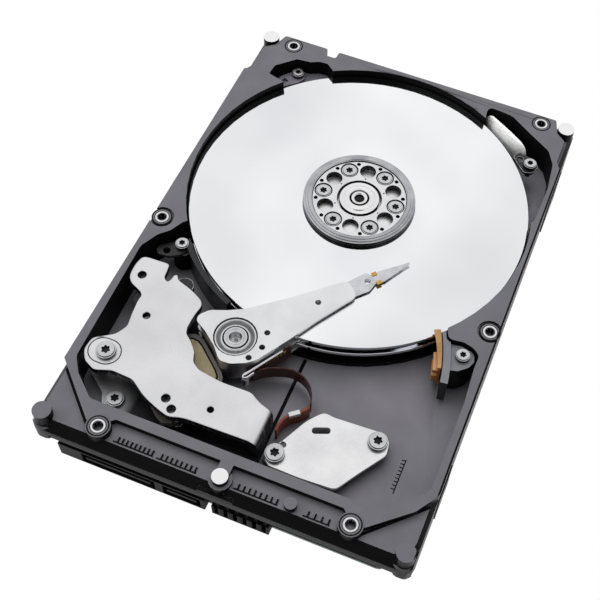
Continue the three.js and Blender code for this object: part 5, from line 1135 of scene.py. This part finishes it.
world = bpy.data.worlds.new("studio")
world.use_nodes = True
tree = world.node_tree
tree.nodes.clear()
rays = addNode(tree, "LightPath")
glossy = addNode(tree, "Math", {0: (rays, "Is Camera Ray"), 1: (rays, "Is Glossy Ray")}, operation="MAXIMUM")
seen = addNode(tree, "Math", {0: glossy, 1: (rays, "Is Transmission Ray")}, operation="MAXIMUM")
# mirrors see a softbox wall whose brightness drifts a little with direction
drift = addNode(tree, "TexNoise", {"Vector": (addNode(tree, "TexCoord"), "Generated"),
                                   "Scale": studio["driftScale"], "Detail": 1.0})
mirrored = addNode(tree, "MapRange", {"Value": drift, "From Min": 0.35, "From Max": 0.65,
                                      "To Min": studio["mirrorLow"], "To Max": studio["mirrorHigh"]})
level = addNode(tree, "Mix", {0: seen, 2: studio["worldDiffuse"], 3: mirrored})
shown = addNode(tree, "Mix", {0: (rays, "Is Camera Ray"), 2: level, 3: 1.0})
addNode(tree, "OutputWorld", {"Surface": addNode(tree, "Background", {"Color": (1, 1, 1, 1),
                                                                     "Strength": shown})})
bpy.context.scene.world = world

# camera worked out from the post tops, bosses and ring centres in the photograph
shot = {"azimuth": 18.07, "elevation": 57.32, "roll": 4.14, "distance": 288.93, "aim": (9.26, -11.53, 20.0),
        "focus": 1088.33, "centre": (345.0, 300.0), "imageSide": 600.0, "sensor": 36.0}
a, e, roll = (math.radians(shot[key]) for key in ("azimuth", "elevation", "roll"))
back = Vector((math.sin(a) * math.cos(e), -math.cos(a) * math.cos(e), math.sin(e)))
level = Vector((0, 0, 1)).cross(back).normalized()
rise = back.cross(level)
right = level * math.cos(roll) + rise * math.sin(roll)
up = rise * math.cos(roll) - level * math.sin(roll)
camera = bpy.data.objects.new("camera", bpy.data.cameras.new("camera"))
bpy.context.collection.objects.link(camera)
camera.matrix_world = Matrix.Translation((Vector(shot["aim"]) + back * shot["distance"]) * mm) @ Matrix(
    (right, up, back)).transposed().to_4x4()
camera.data.sensor_width = shot["sensor"]
camera.data.lens = shot["focus"] / shot["imageSide"] * shot["sensor"]
camera.data.shift_x = (shot["imageSide"] / 2 - shot["centre"][0]) / shot["imageSide"]
camera.data.shift_y = (shot["centre"][1] - shot["imageSide"] / 2) / shot["imageSide"]
camera.data.clip_start, camera.data.clip_end = 0.01, 20
bpy.context.scene.camera = camera

# one large softbox over the far side, a smaller fill to the left, and dark flags on the camera's side
lamps = {"top": ((-0.15, 0.35, 0.9), 0.9, 9.0), "left": ((-0.8, -0.1, 0.5), 0.5, 2.5)}
for name, (place, size, watts) in lamps.items():
    lamp = bpy.data.objects.new(name, bpy.data.lights.new(name, "AREA"))
    bpy.context.collection.objects.link(lamp)
    lamp.data.shape = "SQUARE"
    lamp.data.size = size
    lamp.data.energy = watts
    lamp.location = place
    lamp.rotation_mode = "QUATERNION"
    lamp.rotation_quaternion = (-Vector(place)).to_track_quat("-Z", "Y")
    lamp.visible_camera = False
    lamp.visible_glossy = False
flagPlace = back * 0.75
stagePlane("flag", studio["flagSize"], flagPlace, back.to_track_quat("Z", "Y"), flagPaint, shown=False)
bpy.context.scene.view_settings.view_transform = "Standard"
print("stage, lamps and camera set")
